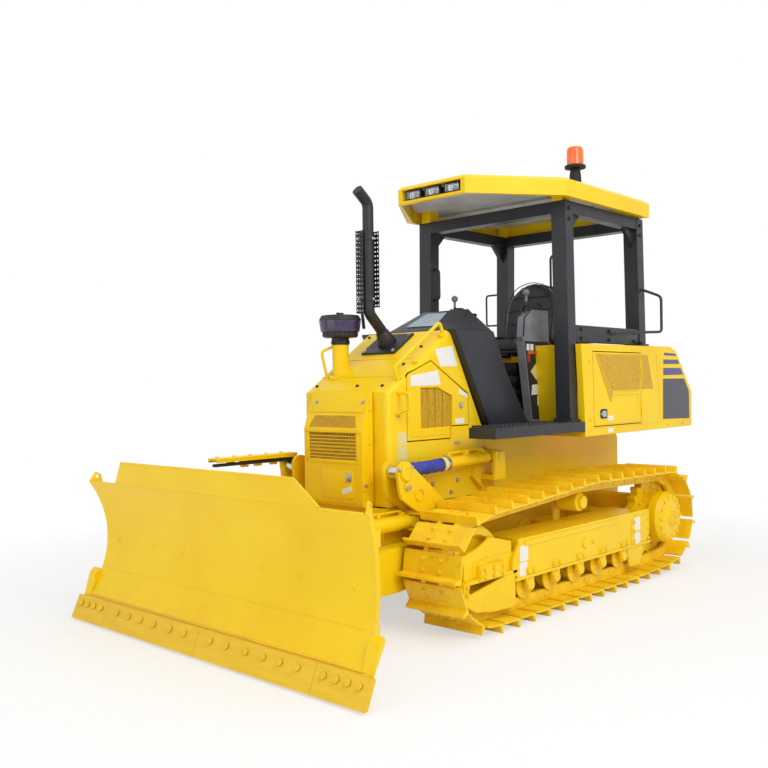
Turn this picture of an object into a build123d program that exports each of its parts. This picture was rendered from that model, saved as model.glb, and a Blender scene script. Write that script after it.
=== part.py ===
"""Small crawler bulldozer with an open canopy, a straight power-angle-tilt blade and two tracks.

Millimetres. +X is forward, +Y is the machine's left, +Z is up. The ground is Z = 0, and the
origin lies on it, below the middle of the whole machine's box.
"""
import os
from math import asin, atan2, cos, degrees, hypot, pi, sin, sqrt

from build123d import *

# Tracks
gauge = 1450.0
shoe_width = 400.0
shoe_pitch = 154.0
shoe_count = 39
shoe_thickness = 9.0
shoe_gap = 5.0
grouser_height = 42.0
grouser_root = 20.0
grouser_tip = 12.0
link_outside = 31.0
link_inside = 36.0
link_width = 26.0
link_spacing = 116.0
bushing_radius = 20.0

# Running gear
sprocket_x = -1310.0
sprocket_z = 388.0
sprocket_half_teeth = 23
sprocket_width = 56.0
idler_z = 350.0
idler_pitch_radius = 268.0
idler_flange = 18.0
roller_z = 190.0
roller_radius = 72.0
roller_flange = 14.0
roller_x = (383.0, 107.0, -169.0, -445.0, -721.0)
carrier_x = -261.0
carrier_z = 597.0
carrier_radius = 60.0
roller_shaft_radius = 26.0
final_drive_radius = 178.0
final_drive_reach = 197.0
final_drive_inner_radius = 150.0

# Track frame
frame_front_x = 497.0
frame_rear_x = -1089.0
frame_half_width = 125.0
frame_plate = 18.0
frame_bottom = 232.0
frame_step = 300.0
frame_top = 468.0

# Main frame between the tracks
chassis_half_width = 350.0
chassis_front_x = 1080.0
chassis_rear_x = -1560.0
chassis_bottom = 330.0
chassis_top = 659.7
chassis_plate = 25.0
pivot_x = -60.0
pivot_z = 430.0
pivot_pin_radius = 50.0

# Blade
blade_pivot_x = 1760.0
blade_pivot_z = 330.0
edge_bottom_x = 2124.0
edge_bottom_z = 12.0
edge_top_x = 2051.0
edge_top_z = 131.0
edge_thickness = 20.0
edge_centre_half = 871.0
moldboard_top_x = 2030.0
moldboard_top_z = 808.0
moldboard_depth = 100.0
moldboard_plate = 10.0
moldboard_half_width = 1165.0
moldboard_waist = 50.0
edge_overhang = 46.0
guard_top_x = 2073.0
guard_top_z = 942.0
guard_half_top = 731.0
guard_half_bottom = 866.0
side_plate_depth = 62.0
side_plate = 16.0

# C-frame and lift towers
arm_inner = 395.0
arm_width = 100.0
arm_top = 470.0
arm_bottom = 225.0
cross_rear_x = 1330.0
cross_front_x = 1490.0
tower_x = 1055.0
tower_z = 870.0
tower_inner = 368.0
tower_outer = 496.0
tower_plate = 18.0
tower_head = 64.0

# Hydraulic cylinders
lift_rear_x = 176.0
lift_rear_z = 904.0
lift_y = 432.0
lift_barrel_radius = 34.0
lift_rod_radius = 19.0
lift_pin_radius = 22.0
lift_eye_radius = 42.0
lift_eye_width = 84.0
lift_head_x = 655.0
boot_radius = 41.0
boot_wall = 2.5
boot_front_x = 985.0
angle_rear_x = 930.0
angle_rear_y = 428.0
angle_front_x = 1720.0
angle_front_y = 440.0
angle_z = 590.0
angle_barrel_radius = 42.0
angle_rod_radius = 22.0
angle_pin_radius = 20.0
angle_eye_radius = 40.0
angle_eye_height = 60.0
angle_head = 540.0
tilt_x = 1800.0
tilt_base_y = 40.0
tilt_rod_y = -640.0
tilt_z = 760.0
tilt_barrel_radius = 42.0
tilt_rod_radius = 22.0
tilt_pin_radius = 20.0
tilt_eye_radius = 38.0
tilt_eye_width = 56.0
tilt_head = 420.0
eye_gap = 4.0
running = 0.05
carrier_rear_x = 1788.0
carrier_front_x = 1844.0
carrier_half = 480.0
swivel_radius = 72.0
swivel_half_height = 50.0
swivel_pin_radius = 40.0
swivel_shaft_radius = 36.0
lug = 16.0

# Hood
hood_half_width = 352.0
hood_skin = 12.0
hood_front_x = 1040.0
hood_front_z = 1327.0
hood_rear_x = 485.0
hood_rear_z = 1686.0
hood_foot_x = 150.0
hood_foot_z = 1046.0
hood_bottom = 660.0
mask_front_x = 1139.0
mask_half_width = 240.0
mask_bottom = 664.0
mask_top_x = 1062.0
door_step_x = 486.0
door_step_z = 1104.0
door_gap = 6.0
door_skin = 10.0

# Platform, cowl and rear body
platform_half_width = 700.0
platform_bottom = 1030.0
platform_top = 1095.0
platform_front_x = 496.0
cowl_half_width = 400.0
cowl_wall = 25.0
body_bottom = 995.0
body_top = 1611.0
body_front_x = -500.0
body_rear_x = -2124.0
body_shoulder_x = -1860.0
body_rear_z = 1273.0
body_inner = 340.0
body_cross_x = -1080.0
locker_depth = 110.0

# Canopy
post_front_x = -391.0
post_rear_x = -1371.0
post_depth = 95.0
post_width = 110.0
post_outer_foot = 655.0
post_outer_head = 634.0
post_head = 2560.0
beam_depth = 80.0
roof_bottom = 2567.0
roof_top = 2688.0
roof_front_x = 227.0
roof_front_half = 284.0
roof_corner_x = -320.0
roof_rear_x = -1452.0
roof_half_width = 695.0
roof_wall = 35.0

# Seat and consoles
seat_width = 500.0
seat_front_x = -379.0
seat_rear_x = -863.0
seat_top = 1655.0
seat_back_top = 2140.0
cushion_thickness = 130.0

# Exhaust and pre-cleaner
stack_x = 770.0
stack_y = -45.0
stack_radius = 34.0
flange_x = 605.0
precleaner_x = 864.0
precleaner_y = -205.0
bowl_radius = 128.0
neck_radius = 52.0

# Hinges of the doors
grip_reach_left = 90.0
grip_reach_right = 48.0
hinge_radius = 5.0
hinge_offset = 5.3
knuckle = 60.0

# Clearances
fit = 0.3
clear = 6.0
roller_slack = 1.4

track_y = gauge / 2
pitch_angle = 2 * pi / (sprocket_half_teeth / 2)
sprocket_pitch_radius = shoe_pitch / (2 * sin(pitch_angle / 2))
idler_tread_radius = sqrt(idler_pitch_radius ** 2 - (shoe_pitch / 2) ** 2) - link_inside
knuckle_rear_x = blade_pivot_x + swivel_radius + clear
end_slope = moldboard_waist / moldboard_depth
edge_half_width = moldboard_half_width + edge_overhang
platform_rear_x = body_front_x + fit
rail_out = link_spacing / 2 + link_width / 2
rail_in = link_spacing / 2 - link_width / 2


def side(points, y0, y1):
    """Prism of an outline in X and Z, between two Y planes."""
    face = make_face(Polyline(*points, close=True))
    return extrude(Plane.XZ.offset(-y1) * face, amount=y1 - y0)


def plan(points, z0, z1):
    """Prism of an outline in X and Y, between two heights."""
    face = make_face(Polyline(*points, close=True))
    return extrude(Pos(0, 0, z0) * face, amount=z1 - z0)


def front(points, x0, x1):
    """Prism of an outline in Y and Z, between two X planes."""
    face = make_face(Polyline(*points, close=True))
    return extrude(Plane.YZ.offset(x0) * face, amount=x1 - x0)


def block(x0, x1, y0, y1, z0, z1):
    """Box between two corners."""
    return Pos((x0 + x1) / 2, (y0 + y1) / 2, (z0 + z1) / 2) * Box(x1 - x0, y1 - y0, z1 - z0)


def bar_y(x, z, radius, y0, y1):
    """Round bar across the machine."""
    return Pos(x, (y0 + y1) / 2, z) * Rot(90, 0, 0) * Cylinder(radius, y1 - y0)


def bar_x(y, z, radius, x0, x1):
    """Round bar along the machine."""
    return Pos((x0 + x1) / 2, y, z) * Rot(0, 90, 0) * Cylinder(radius, x1 - x0)


def bar_z(x, y, radius, z0, z1):
    """Upright round bar."""
    return Pos(x, y, (z0 + z1) / 2) * Cylinder(radius, z1 - z0)


def pipe(points, radii, radius):
    """Round pipe along straight runs joined by arcs."""
    line = FilletPolyline(*points, radius=radii)
    return sweep(Plane(line @ 0, z_dir=line % 0) * Circle(radius), line)


def turned_y(profile, x, z, y):
    """Solid of revolution about an axis across the machine, from (radius, offset) pairs."""
    face = make_face(Polyline(*profile, close=True))
    return Pos(x, y, z) * Rot(-90, 0, 0) * revolve(Plane.XZ * face, axis=Axis.Z)


def turned_z(profile, x, y, z):
    """Solid of revolution about an upright axis, from (radius, height) pairs."""
    face = make_face(Polyline(*profile, close=True))
    return Pos(x, y, z) * revolve(Plane.XZ * face, axis=Axis.Z)


def other_side(shape):
    """Mirror image on the machine's other side."""
    return mirror(shape, about=Plane.XZ)


def both(shape):
    """A piece and its mirror image, as separate solids of one node."""
    return Compound(children=[*shape.solids(), *other_side(shape).solids()])


def group(*shapes):
    """Separate solids of one node."""
    return Compound(children=[solid for shape in shapes for solid in shape.solids()])


def fused(*shapes):
    """One solid from pieces that are welded together."""
    first, *rest = [solid for shape in shapes for solid in shape.solids()]
    return first.fuse(*rest)


# Track loop: the line through the pins is a belt round four wheels.
def belt(idler_x):
    """Wheels of the belt, as (x, z, radius) in order round the loop, and its straight runs."""
    wheels = [
        (idler_x, idler_z, idler_pitch_radius),
        (carrier_x, carrier_z, carrier_radius + link_inside),
        (sprocket_x, sprocket_z, sprocket_pitch_radius),
        (roller_x[-1], roller_z, roller_radius + link_inside),
    ]
    normals = []
    for number, (x, z, radius) in enumerate(wheels):
        next_x, next_z, next_radius = wheels[(number + 1) % len(wheels)]
        span = hypot(next_x - x, next_z - z)
        along = atan2(next_z - z, next_x - x)
        normals.append(along - pi / 2 + asin((radius - next_radius) / span))
    return wheels, normals


def belt_pieces(idler_x):
    """Arcs and lines of the belt in order, each as (length, function of distance)."""
    wheels, normals = belt(idler_x)
    pieces = []
    for number, (x, z, radius) in enumerate(wheels):
        begin = normals[number - 1]
        turn = (normals[number] - begin) % (2 * pi)

        def arc(distance, x=x, z=z, radius=radius, begin=begin):
            angle = begin + distance / radius
            return x + radius * cos(angle), z + radius * sin(angle)

        pieces.append((radius * turn, arc))
        next_x, next_z, next_radius = wheels[(number + 1) % len(wheels)]
        normal = normals[number]
        start = (x + radius * cos(normal), z + radius * sin(normal))
        end = (next_x + next_radius * cos(normal), next_z + next_radius * sin(normal))
        length = hypot(end[0] - start[0], end[1] - start[1])

        def run(distance, start=start, end=end, length=length):
            share = distance / length
            return start[0] + share * (end[0] - start[0]), start[1] + share * (end[1] - start[1])

        pieces.append((length, run))
    return pieces


def belt_length(idler_x):
    """Length of the pin line for one position of the idler."""
    return sum(length for length, _ in belt_pieces(idler_x))


def adjusted_idler():
    """Idler position at which the chain of shoe_count links is just tight."""
    low, high = roller_x[0], roller_x[0] + 3 * idler_pitch_radius
    for _ in range(60):
        middle = (low + high) / 2
        if belt_length(middle) < shoe_count * shoe_pitch:
            low = middle
        else:
            high = middle
    return (low + high) / 2


idler_x = adjusted_idler()


def pin_points():
    """Places of the track pins round the loop, as (x, z), the outside on the right."""
    pieces = belt_pieces(idler_x)
    total = sum(length for length, _ in pieces)
    over_carrier = pieces[0][0] + pieces[1][0] + pieces[2][0] / 2
    points = []
    for number in range(shoe_count):
        distance = (over_carrier + total * number / shoe_count) % total
        for length, place in pieces:
            if distance < length:
                points.append(place(distance))
                break
            distance -= length
    return points


def offset_ring(points, distance):
    """Corners of the ring of links moved outwards by a distance."""
    corners = []
    for number, (x, z) in enumerate(points):
        before = points[number - 1]
        after = points[(number + 1) % len(points)]
        first = atan2(z - before[1], x - before[0]) - pi / 2
        second = atan2(after[1] - z, after[0] - x) - pi / 2
        half = ((second - first + pi) % (2 * pi) - pi) / 2
        reach = distance / cos(half)
        corners.append((x + reach * cos(first + half), z + reach * sin(first + half)))
    return corners


def shoe_outline():
    """Single-grouser shoe in the link's frame: along the link, and outwards from the pins."""
    half = (shoe_pitch - shoe_gap) / 2
    seat = link_outside
    face = seat + shoe_thickness
    tip = face + grouser_height
    root = -half + grouser_root
    return [
        (-half, seat), (half - 14, seat), (half, seat - 8), (half, seat + 1),
        (half - 18, face), (root + 8, face), (-half + grouser_tip, tip), (-half, tip),
    ]


def track(sign):
    """One closed loop: two rails of links with the shoes welded on."""
    pins = pin_points()
    outer = offset_ring(pins, link_outside)
    inner = offset_ring(pins, -link_inside)
    y = sign * track_y
    solids = []
    for rail in (-1, 1):
        middle = y + rail * link_spacing / 2
        ring = side(outer, middle - link_width / 2, middle + link_width / 2)
        hollow = side(inner, middle - link_width, middle + link_width)
        solids.append(ring - hollow)
    outline = shoe_outline()
    for number, (x, z) in enumerate(pins):
        after = pins[(number + 1) % len(pins)]
        angle = atan2(after[1] - z, after[0] - x)
        centre = ((x + after[0]) / 2, (z + after[1]) / 2)
        points = [
            (centre[0] + s * cos(angle) + n * sin(angle), centre[1] + s * sin(angle) - n * cos(angle))
            for s, n in outline
        ]
        solids.append(side(points, y - shoe_width / 2, y + shoe_width / 2))
    return fused(*solids)


def sprocket():
    """Toothed drive wheel of the left side: teeth that seat in the bushings' gaps."""
    root = sprocket_pitch_radius - bushing_radius - 2
    tip = sprocket_pitch_radius + 8
    points = []
    for tooth in range(sprocket_half_teeth):
        middle = 2 * pi * tooth / sprocket_half_teeth
        step = 2 * pi / sprocket_half_teeth
        for share, radius in ((-0.30, root), (-0.12, tip), (0.12, tip), (0.30, root)):
            angle = middle + share * step
            points.append((sprocket_x + radius * cos(angle), sprocket_z + radius * sin(angle)))
    return side(points, track_y - sprocket_width / 2, track_y + sprocket_width / 2)


def final_drive():
    """Final drive of the left side: case, toothed wheel and bolted cover."""
    case = bar_y(sprocket_x, sprocket_z, final_drive_inner_radius, chassis_half_width, track_y)
    cover = turned_y(
        [(0, 0), (final_drive_radius, 0), (final_drive_radius, 60), (final_drive_radius - 18, 86),
         (70, 100), (60, final_drive_reach - 85), (0, final_drive_reach - 85)],
        sprocket_x, sprocket_z, track_y + 85)
    neck = bar_y(sprocket_x, sprocket_z, final_drive_radius - 30, track_y, track_y + 87)
    return fused(sprocket(), case, neck, cover)


def idler():
    """Front idler of the left side, with a centre flange between the rails."""
    rim = idler_tread_radius - fit
    flange = rail_in - 5
    profile = [
        (0, -60), (60, -60), (60, -rail_out), (rim, -rail_out), (rim, -flange),
        (rim + idler_flange, -flange + 6), (rim + idler_flange, flange - 6), (rim, flange),
        (rim, rail_out), (rim - 40, rail_out), (rim - 60, 34), (90, 34), (60, 60), (0, 60),
    ]
    return turned_y(profile, idler_x, idler_z, track_y)


def roller(x, z, radius, reach):
    """Track roller of the left side on its shaft, flanged outside the rails."""
    tread = radius - fit
    flange = rail_out + 4
    profile = [
        (0, -reach), (roller_shaft_radius, -reach), (roller_shaft_radius, -flange - 12),
        (tread + roller_flange, -flange - 10), (tread + roller_flange, -flange), (tread, -flange + 2),
        (tread, -24), (tread - 18, -14), (tread - 18, 14), (tread, 24), (tread, flange - 2),
        (tread + roller_flange, flange), (tread + roller_flange, flange + 10),
        (roller_shaft_radius, flange + 12), (roller_shaft_radius, reach), (0, reach),
    ]
    return turned_y(profile, x, z, track_y)


def rollers():
    """Five track rollers and one carrier roller of the left side."""
    reach = frame_half_width - frame_plate - fit
    lower = [roller(x, roller_z, roller_radius, reach) for x in roller_x[:-1]]
    lower.append(roller(roller_x[-1], roller_z + roller_slack, roller_radius, reach))
    carrier = turned_y(
        [(0, -100), (22, -100), (22, -rail_out - 4), (carrier_radius - fit, -rail_out),
         (carrier_radius - fit, rail_out), (44, rail_out + 10), (40, rail_out + 30), (0, rail_out + 34)],
        carrier_x, carrier_z, track_y)
    return group(*lower, carrier)


def track_frame():
    """Box and side plates that carry the rollers of the left side, idler fork and carrier post."""
    y0, y1 = track_y - frame_half_width, track_y + frame_half_width
    box_rear = sprocket_x + sprocket_pitch_radius + 30
    box = block(box_rear, frame_front_x, y0, y1, frame_step, frame_top)
    plates = []
    for low in (y0, y1 - frame_plate):
        outline = [
            (frame_rear_x, frame_top), (frame_rear_x, frame_step - 1), (frame_rear_x + 60, frame_bottom),
            (frame_front_x, frame_bottom), (frame_front_x + 60, frame_step - 1), (frame_front_x + 60, 350),
            (frame_front_x - 20, frame_top),
        ]
        plates.append(side(outline, low, low + frame_plate))
        for x in roller_x:
            plates.append(side(
                [(x - 42, frame_bottom + 2), (x - 34, roller_z - 30), (x + 34, roller_z - 30),
                 (x + 42, frame_bottom + 2)], low, low + frame_plate))
    fork = []
    for low in (track_y - 104, track_y + 76):
        fork.append(side(
            [(frame_front_x - 80, idler_z - 50), (idler_x + 60, idler_z - 50), (idler_x + 80, idler_z),
             (idler_x + 60, idler_z + 50), (frame_front_x - 80, idler_z + 50)], low, low + 28))
    hub = bar_y(idler_x, idler_z, 40, track_y + 60 + fit, track_y + 112)
    hub_inner = bar_y(idler_x, idler_z, 40, track_y - 112, track_y - 60 - fit)
    post = block(carrier_x - 34, carrier_x + 34, track_y - 118, track_y - 100 - fit, frame_top - 2,
                 carrier_z + 30)
    return fused(box, *plates, *fork, hub, hub_inner, post)


def main_frame():
    """Two side members with floor and cross plates, rear case, pivots and the lift brackets."""
    w = chassis_half_width
    members = side(
        [(chassis_rear_x, 620), (chassis_rear_x, 420), (chassis_rear_x + 200, chassis_bottom),
         (chassis_front_x - 180, chassis_bottom), (chassis_front_x, chassis_bottom + 140),
         (chassis_front_x, chassis_top), (hood_foot_x, chassis_top), (hood_foot_x - 200, body_bottom - fit),
         (-1500, body_bottom - fit), (chassis_rear_x, body_bottom - 60)], -w, w)
    hollow = side(
        [(-900, 1001), (-900, chassis_bottom + chassis_plate), (chassis_front_x - 200, chassis_bottom + chassis_plate),
         (chassis_front_x - chassis_plate, chassis_bottom + 160), (chassis_front_x - chassis_plate, 1001)],
        -w + chassis_plate, w - chassis_plate)
    beams = [
        block(-420, -180, w - 5, track_y - frame_half_width - fit, 340, 460),
        block(-1000, -800, w - 5, track_y - frame_half_width - fit, 340, 460),
        bar_y(pivot_x, pivot_z, pivot_pin_radius, w - 5, arm_inner + arm_width + 14),
    ]
    bracket = fused(
        side([(lift_rear_x + 40, 700), (lift_rear_x + 130, 780), (lift_rear_x + 50, lift_rear_z + 44),
              (lift_rear_x - 50, lift_rear_z + 44), (lift_rear_x - 90, 860), (lift_rear_x - 90, 580),
              (lift_rear_x + 40, 580)], hood_half_width + fit, lift_y - lift_eye_width / 2 - eye_gap),
        block(lift_rear_x - 90, lift_rear_x + 40, w - 5, lift_y - lift_eye_width / 2 - eye_gap, 580, chassis_top),
        side([(lift_rear_x - 60, 780), (lift_rear_x + 60, 780), (lift_rear_x + 48, lift_rear_z + 30),
              (lift_rear_x - 48, lift_rear_z + 30)], lift_y + lift_eye_width / 2 + eye_gap, tower_outer),
        block(lift_rear_x - 60, lift_rear_x + 60, hood_half_width + fit, tower_outer, 760, 790),
        bar_y(lift_rear_x, lift_rear_z, lift_pin_radius, hood_half_width + fit, tower_outer + 6),
    )
    uprights = block(hood_foot_x - 200, hood_foot_x - clear, w - chassis_plate, w, 900, platform_top - 14 - fit)
    frame = members - hollow
    parts = beams + [bracket, uprights]
    return fused(frame, *parts, *[other_side(part) for part in parts], drawbar())


def drawbar():
    """Rear towing jaw with a vertical pin bore."""
    x0 = chassis_rear_x
    jaw = block(x0 - 190, x0 + 5, -70, 70, 440, 580)
    gap = block(x0 - 191, x0 - 90, -71, 71, 485, 535)
    bore = bar_z(x0 - 130, 0, 18, 430, 590)
    return jaw - gap - bore


def blade_curve(shift):
    """Arc of the blade's face in X and Z from the cutting edge to the top, moved back by shift."""
    bottom = (edge_top_x - shift, edge_top_z)
    top = (moldboard_top_x - shift, moldboard_top_z)
    middle = ((bottom[0] + top[0]) / 2 - moldboard_depth, (bottom[1] + top[1]) / 2)
    return bottom, middle, top


def end_plan(near, far):
    """Plan of a slanted slab at the blade's left end, between two distances from the end line."""
    front_x, rear_x = edge_top_x + 60, edge_top_x - 260
    front_y = moldboard_half_width + 60 * end_slope
    rear_y = moldboard_half_width - 260 * end_slope
    return [(front_x, front_y + near), (rear_x, rear_y + near), (rear_x, rear_y + far), (front_x, front_y + far)]


def flank():
    """Left side plate of the blade, with the lifting ear and its hole."""
    bottom, middle, top = blade_curve(0)
    depth = side_plate_depth
    ear = [(top[0] - 31, top[1] + 56), (top[0] - 55, top[1] + 42), (top[0] - depth, top[1])]
    face = make_face(Curve() + [
        ThreePointArc(bottom, middle, top),
        Line(top, ear[0]), Line(ear[0], ear[1]), Line(ear[1], ear[2]),
        ThreePointArc(ear[2], (middle[0] - depth, middle[1]), (bottom[0] - depth, bottom[1])),
        Line((bottom[0] - depth, bottom[1]), bottom),
    ])
    plate = extrude(Plane.XZ.offset(-edge_half_width) * face, amount=edge_half_width - moldboard_half_width + 265)
    plate = plate & plan(end_plan(-side_plate, 0), 0, 1200)
    return plate - bar_y(top[0] - 38, top[1] + 30, 11, 1000, edge_half_width)


def blade():
    """Curved plate with a raised guard, side plates with lifting ears, and the back frame."""
    bottom, middle, top = blade_curve(0)
    back_bottom, back_middle, back_top = blade_curve(moldboard_plate)
    face = make_face(Curve() + [
        ThreePointArc(bottom, middle, top), Line(top, back_top),
        ThreePointArc(back_top, back_middle, back_bottom), Line(back_bottom, bottom),
    ])
    shell = extrude(Plane.XZ.offset(-edge_half_width) * face, amount=2 * edge_half_width)
    trim = plan(end_plan(-side_plate / 2, 400), 0, 1200)
    shell = shell - trim - other_side(trim)
    guard = loft([
        Pos(moldboard_top_x - 5, 0, moldboard_top_z - 2) * Rectangle(10, 2 * guard_half_bottom),
        Pos(guard_top_x - 5, 0, guard_top_z) * Rectangle(10, 2 * guard_half_top),
    ])
    seat_strip = side(
        [edge_place(0, edge_thickness + fit), edge_place(118, edge_thickness + fit),
         edge_place(118, edge_thickness + fit + 12), edge_place(-4, edge_thickness + fit + 12)],
        -moldboard_half_width + 10, moldboard_half_width - 10)
    foot = side(
        [(edge_top_x - 2, edge_top_z), (moldboard_top_x - 20, 270), (moldboard_top_x - 50, 290),
         (moldboard_top_x - 56, 268)], moldboard_half_width - 40, edge_half_width - 16)
    rear_x = middle[0] - moldboard_plate
    half = moldboard_half_width - (edge_top_x - rear_x + 70) * end_slope - 4
    beams = [
        block(rear_x - 70, rear_x + 20, -half, half, 640, 720),
        block(rear_x - 60, rear_x + 40, -half, half, 180, 300),
    ]
    ribs = [side([(rear_x - 60, 298), (rear_x + 8, 298), (rear_x + 8, 642), (rear_x - 70, 642)],
                 y - 8, y + 8) for y in (-980, -620, -330, 330, 620, 980)]
    boss = fused(
        block(knuckle_rear_x, rear_x + 10, -110, 110, blade_pivot_z - 90, blade_pivot_z + 130),
        block(rear_x - 40, rear_x + 6, -170, 170, 290, 642))
    socket = bar_x(0, blade_pivot_z, swivel_shaft_radius + running, knuckle_rear_x - 1, knuckle_rear_x + 61)
    lugs = []
    for x0 in (tilt_x - tilt_eye_width / 2 - eye_gap - lug, tilt_x + tilt_eye_width / 2 + eye_gap):
        lugs.append(front([(tilt_rod_y - 45, tilt_z - 45), (tilt_rod_y + 45, tilt_z - 45),
                           (tilt_rod_y + 45, tilt_z + 60), (tilt_rod_y - 45, tilt_z + 60)], x0, x0 + lug))
    lug_rear = tilt_x - tilt_eye_width / 2 - eye_gap - lug
    lugs.append(block(lug_rear, rear_x + 20, tilt_rod_y - 45, tilt_rod_y + 45, tilt_z + 56, tilt_z + 72))
    lugs.append(block(tilt_x + tilt_eye_width / 2 + eye_gap, rear_x + 20, tilt_rod_y - 45, tilt_rod_y + 45,
                      tilt_z - 60, tilt_z + 72))
    lugs.append(bar_x(tilt_rod_y, tilt_z, tilt_pin_radius, lug_rear - 8, lug_rear + lug))
    return fused(shell, seat_strip, guard, flank(), other_side(flank()), foot, other_side(foot), *beams, *ribs,
                 boss, *lugs) - socket


def edge_place(down, depth):
    """Point of the cutting edge in X and Z: down its front face from the top, and behind it."""
    top_x, top_z = edge_top_x + 17.6, edge_top_z + 10.7
    run = hypot(edge_bottom_x - top_x, edge_bottom_z - top_z)
    dx, dz = (edge_bottom_x - top_x) / run, (edge_bottom_z - top_z) / run
    return top_x + down * dx + depth * dz, top_z + down * dz - depth * dx


def cutting_edge():
    """Two centre edges and two end bits bolted along the blade's lower front."""
    length = hypot(edge_bottom_x - edge_top_x - 17.6, edge_bottom_z - edge_top_z - 10.7)
    outline = [
        edge_place(0, 0), (edge_bottom_x, edge_bottom_z),
        edge_place(length - edge_thickness * 0.44, edge_thickness), edge_place(0, edge_thickness),
    ]
    gap = 1.0
    spans = [(gap, edge_centre_half - gap), (edge_centre_half + gap, edge_half_width)]
    pieces = [side(outline, y0, y1) for y0, y1 in spans]
    return both(group(*pieces))


def c_frame():
    """Push arms from the pivots to a cross box and nose, and the two lift towers."""
    a0, a1 = arm_inner, arm_inner + arm_width
    arm = side(
        [(pivot_x - 95, pivot_z - 60), (pivot_x + 60, pivot_z - 95), (cross_rear_x - 200, arm_bottom),
         (cross_front_x, arm_bottom), (cross_front_x, arm_top - 60), (cross_rear_x - 120, arm_top),
         (pivot_x + 400, arm_top), (pivot_x + 60, pivot_z + 95), (pivot_x - 95, pivot_z + 60)], a0, a1)
    bore = bar_y(pivot_x, pivot_z, pivot_pin_radius + running, a0 - 1, a1 + 1)
    towers = [tower(low) for low in (tower_inner, tower_outer - tower_plate)]
    foot = block(tower_x - 560, tower_x - 300, tower_inner + 1, tower_outer - 1, arm_top - 4, arm_top + 30)
    tube = bar_y(tower_x - 110, tower_z - 130, 32, tower_inner + 1, tower_outer - 1)
    cap = bar_y(tower_x, tower_z, 34, tower_outer - 1, tower_outer + 14)
    inner_cap = bar_y(tower_x, tower_z, 34, tower_inner + tower_plate - 1, tower_inner + tower_plate + 0.5)
    half = fused(arm - bore, *towers, foot, tube, cap, inner_cap)
    reach = angle_eye_height / 2 + clear
    lugs = [
        plan([(angle_rear_x - 80, a0 - 8), (angle_rear_x + 18, a0 - 8), (angle_rear_x + 40, angle_rear_y),
              (angle_rear_x + 18, tower_outer - 4), (angle_rear_x - 80, tower_outer - 4)], z0, z0 + lug)
        for z0 in (angle_z - reach - lug, angle_z + reach)
    ]
    seat = block(angle_rear_x - 84, angle_rear_x - 56, a0 - 8, tower_outer - 4, arm_top - 4, angle_z + reach + lug)
    pin = bar_z(angle_rear_x, angle_rear_y, angle_pin_radius, angle_z - reach - lug - 6, angle_z + reach + lug + 6)
    side_parts = [half, *lugs, seat, pin]
    cross = block(cross_rear_x, cross_front_x, -a1, a1, arm_bottom, arm_top - 60)
    nose_top = arm_top - 40
    nose = plan([(cross_front_x - 10, -300), (cross_front_x - 10, 300), (blade_pivot_x - 60, 115),
                 (blade_pivot_x + 20, 62), (blade_pivot_x + 20, -62), (blade_pivot_x - 60, -115)],
                arm_bottom + 10, nose_top)
    jaw_half = swivel_half_height + clear
    jaw = block(blade_pivot_x - swivel_radius - clear, blade_pivot_x + 100, -130, 130, blade_pivot_z - jaw_half,
                blade_pivot_z + jaw_half)
    pin_bore = bar_z(blade_pivot_x, 0, swivel_pin_radius + running, arm_bottom, nose_top + 1)
    nose = nose - jaw - pin_bore
    return fused(*side_parts, *[other_side(part) for part in side_parts], cross, nose)


def tower(low):
    """One plate of a lift tower: an arm that leans forward from the push arm to the lift pin."""
    x, z = tower_x, tower_z
    web = side(
        [(x - 385, arm_top - 4), (x - 193, z - 282), (x + 31, z - 145), (x + 50, z - 100),
         (x + tower_head - 2, z - 15), (x, z), (x - 30, z + tower_head - 12), (x - 175, z - 58),
         (x - 470, z - 300), (x - 600, arm_top - 4)], low, low + tower_plate)
    return web + bar_y(x, z, tower_head, low, low + tower_plate)


def hose_guard():
    """Channel on the right tower that carries the blade's hoses forward."""
    seat_z = tower_z + tower_head + fit
    outside = -tower_outer - fit
    inside = -hood_half_width - grip_reach_right - 24
    return fused(
        block(tower_x - 20, tower_x + 590, outside - 8, inside, seat_z, seat_z + 12),
        block(tower_x - 20, tower_x + 590, outside - 8, outside, seat_z - 12, seat_z + 12),
        block(tower_x + 70, tower_x + 582, outside, outside + 30, seat_z - 40, seat_z + 4)
        & plan([(tower_x + 70, outside), (tower_x + 380, outside), (tower_x + 380, outside + 31),
                (tower_x + 70, outside + 31)], seat_z - 40, seat_z + 4),
    )


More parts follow.
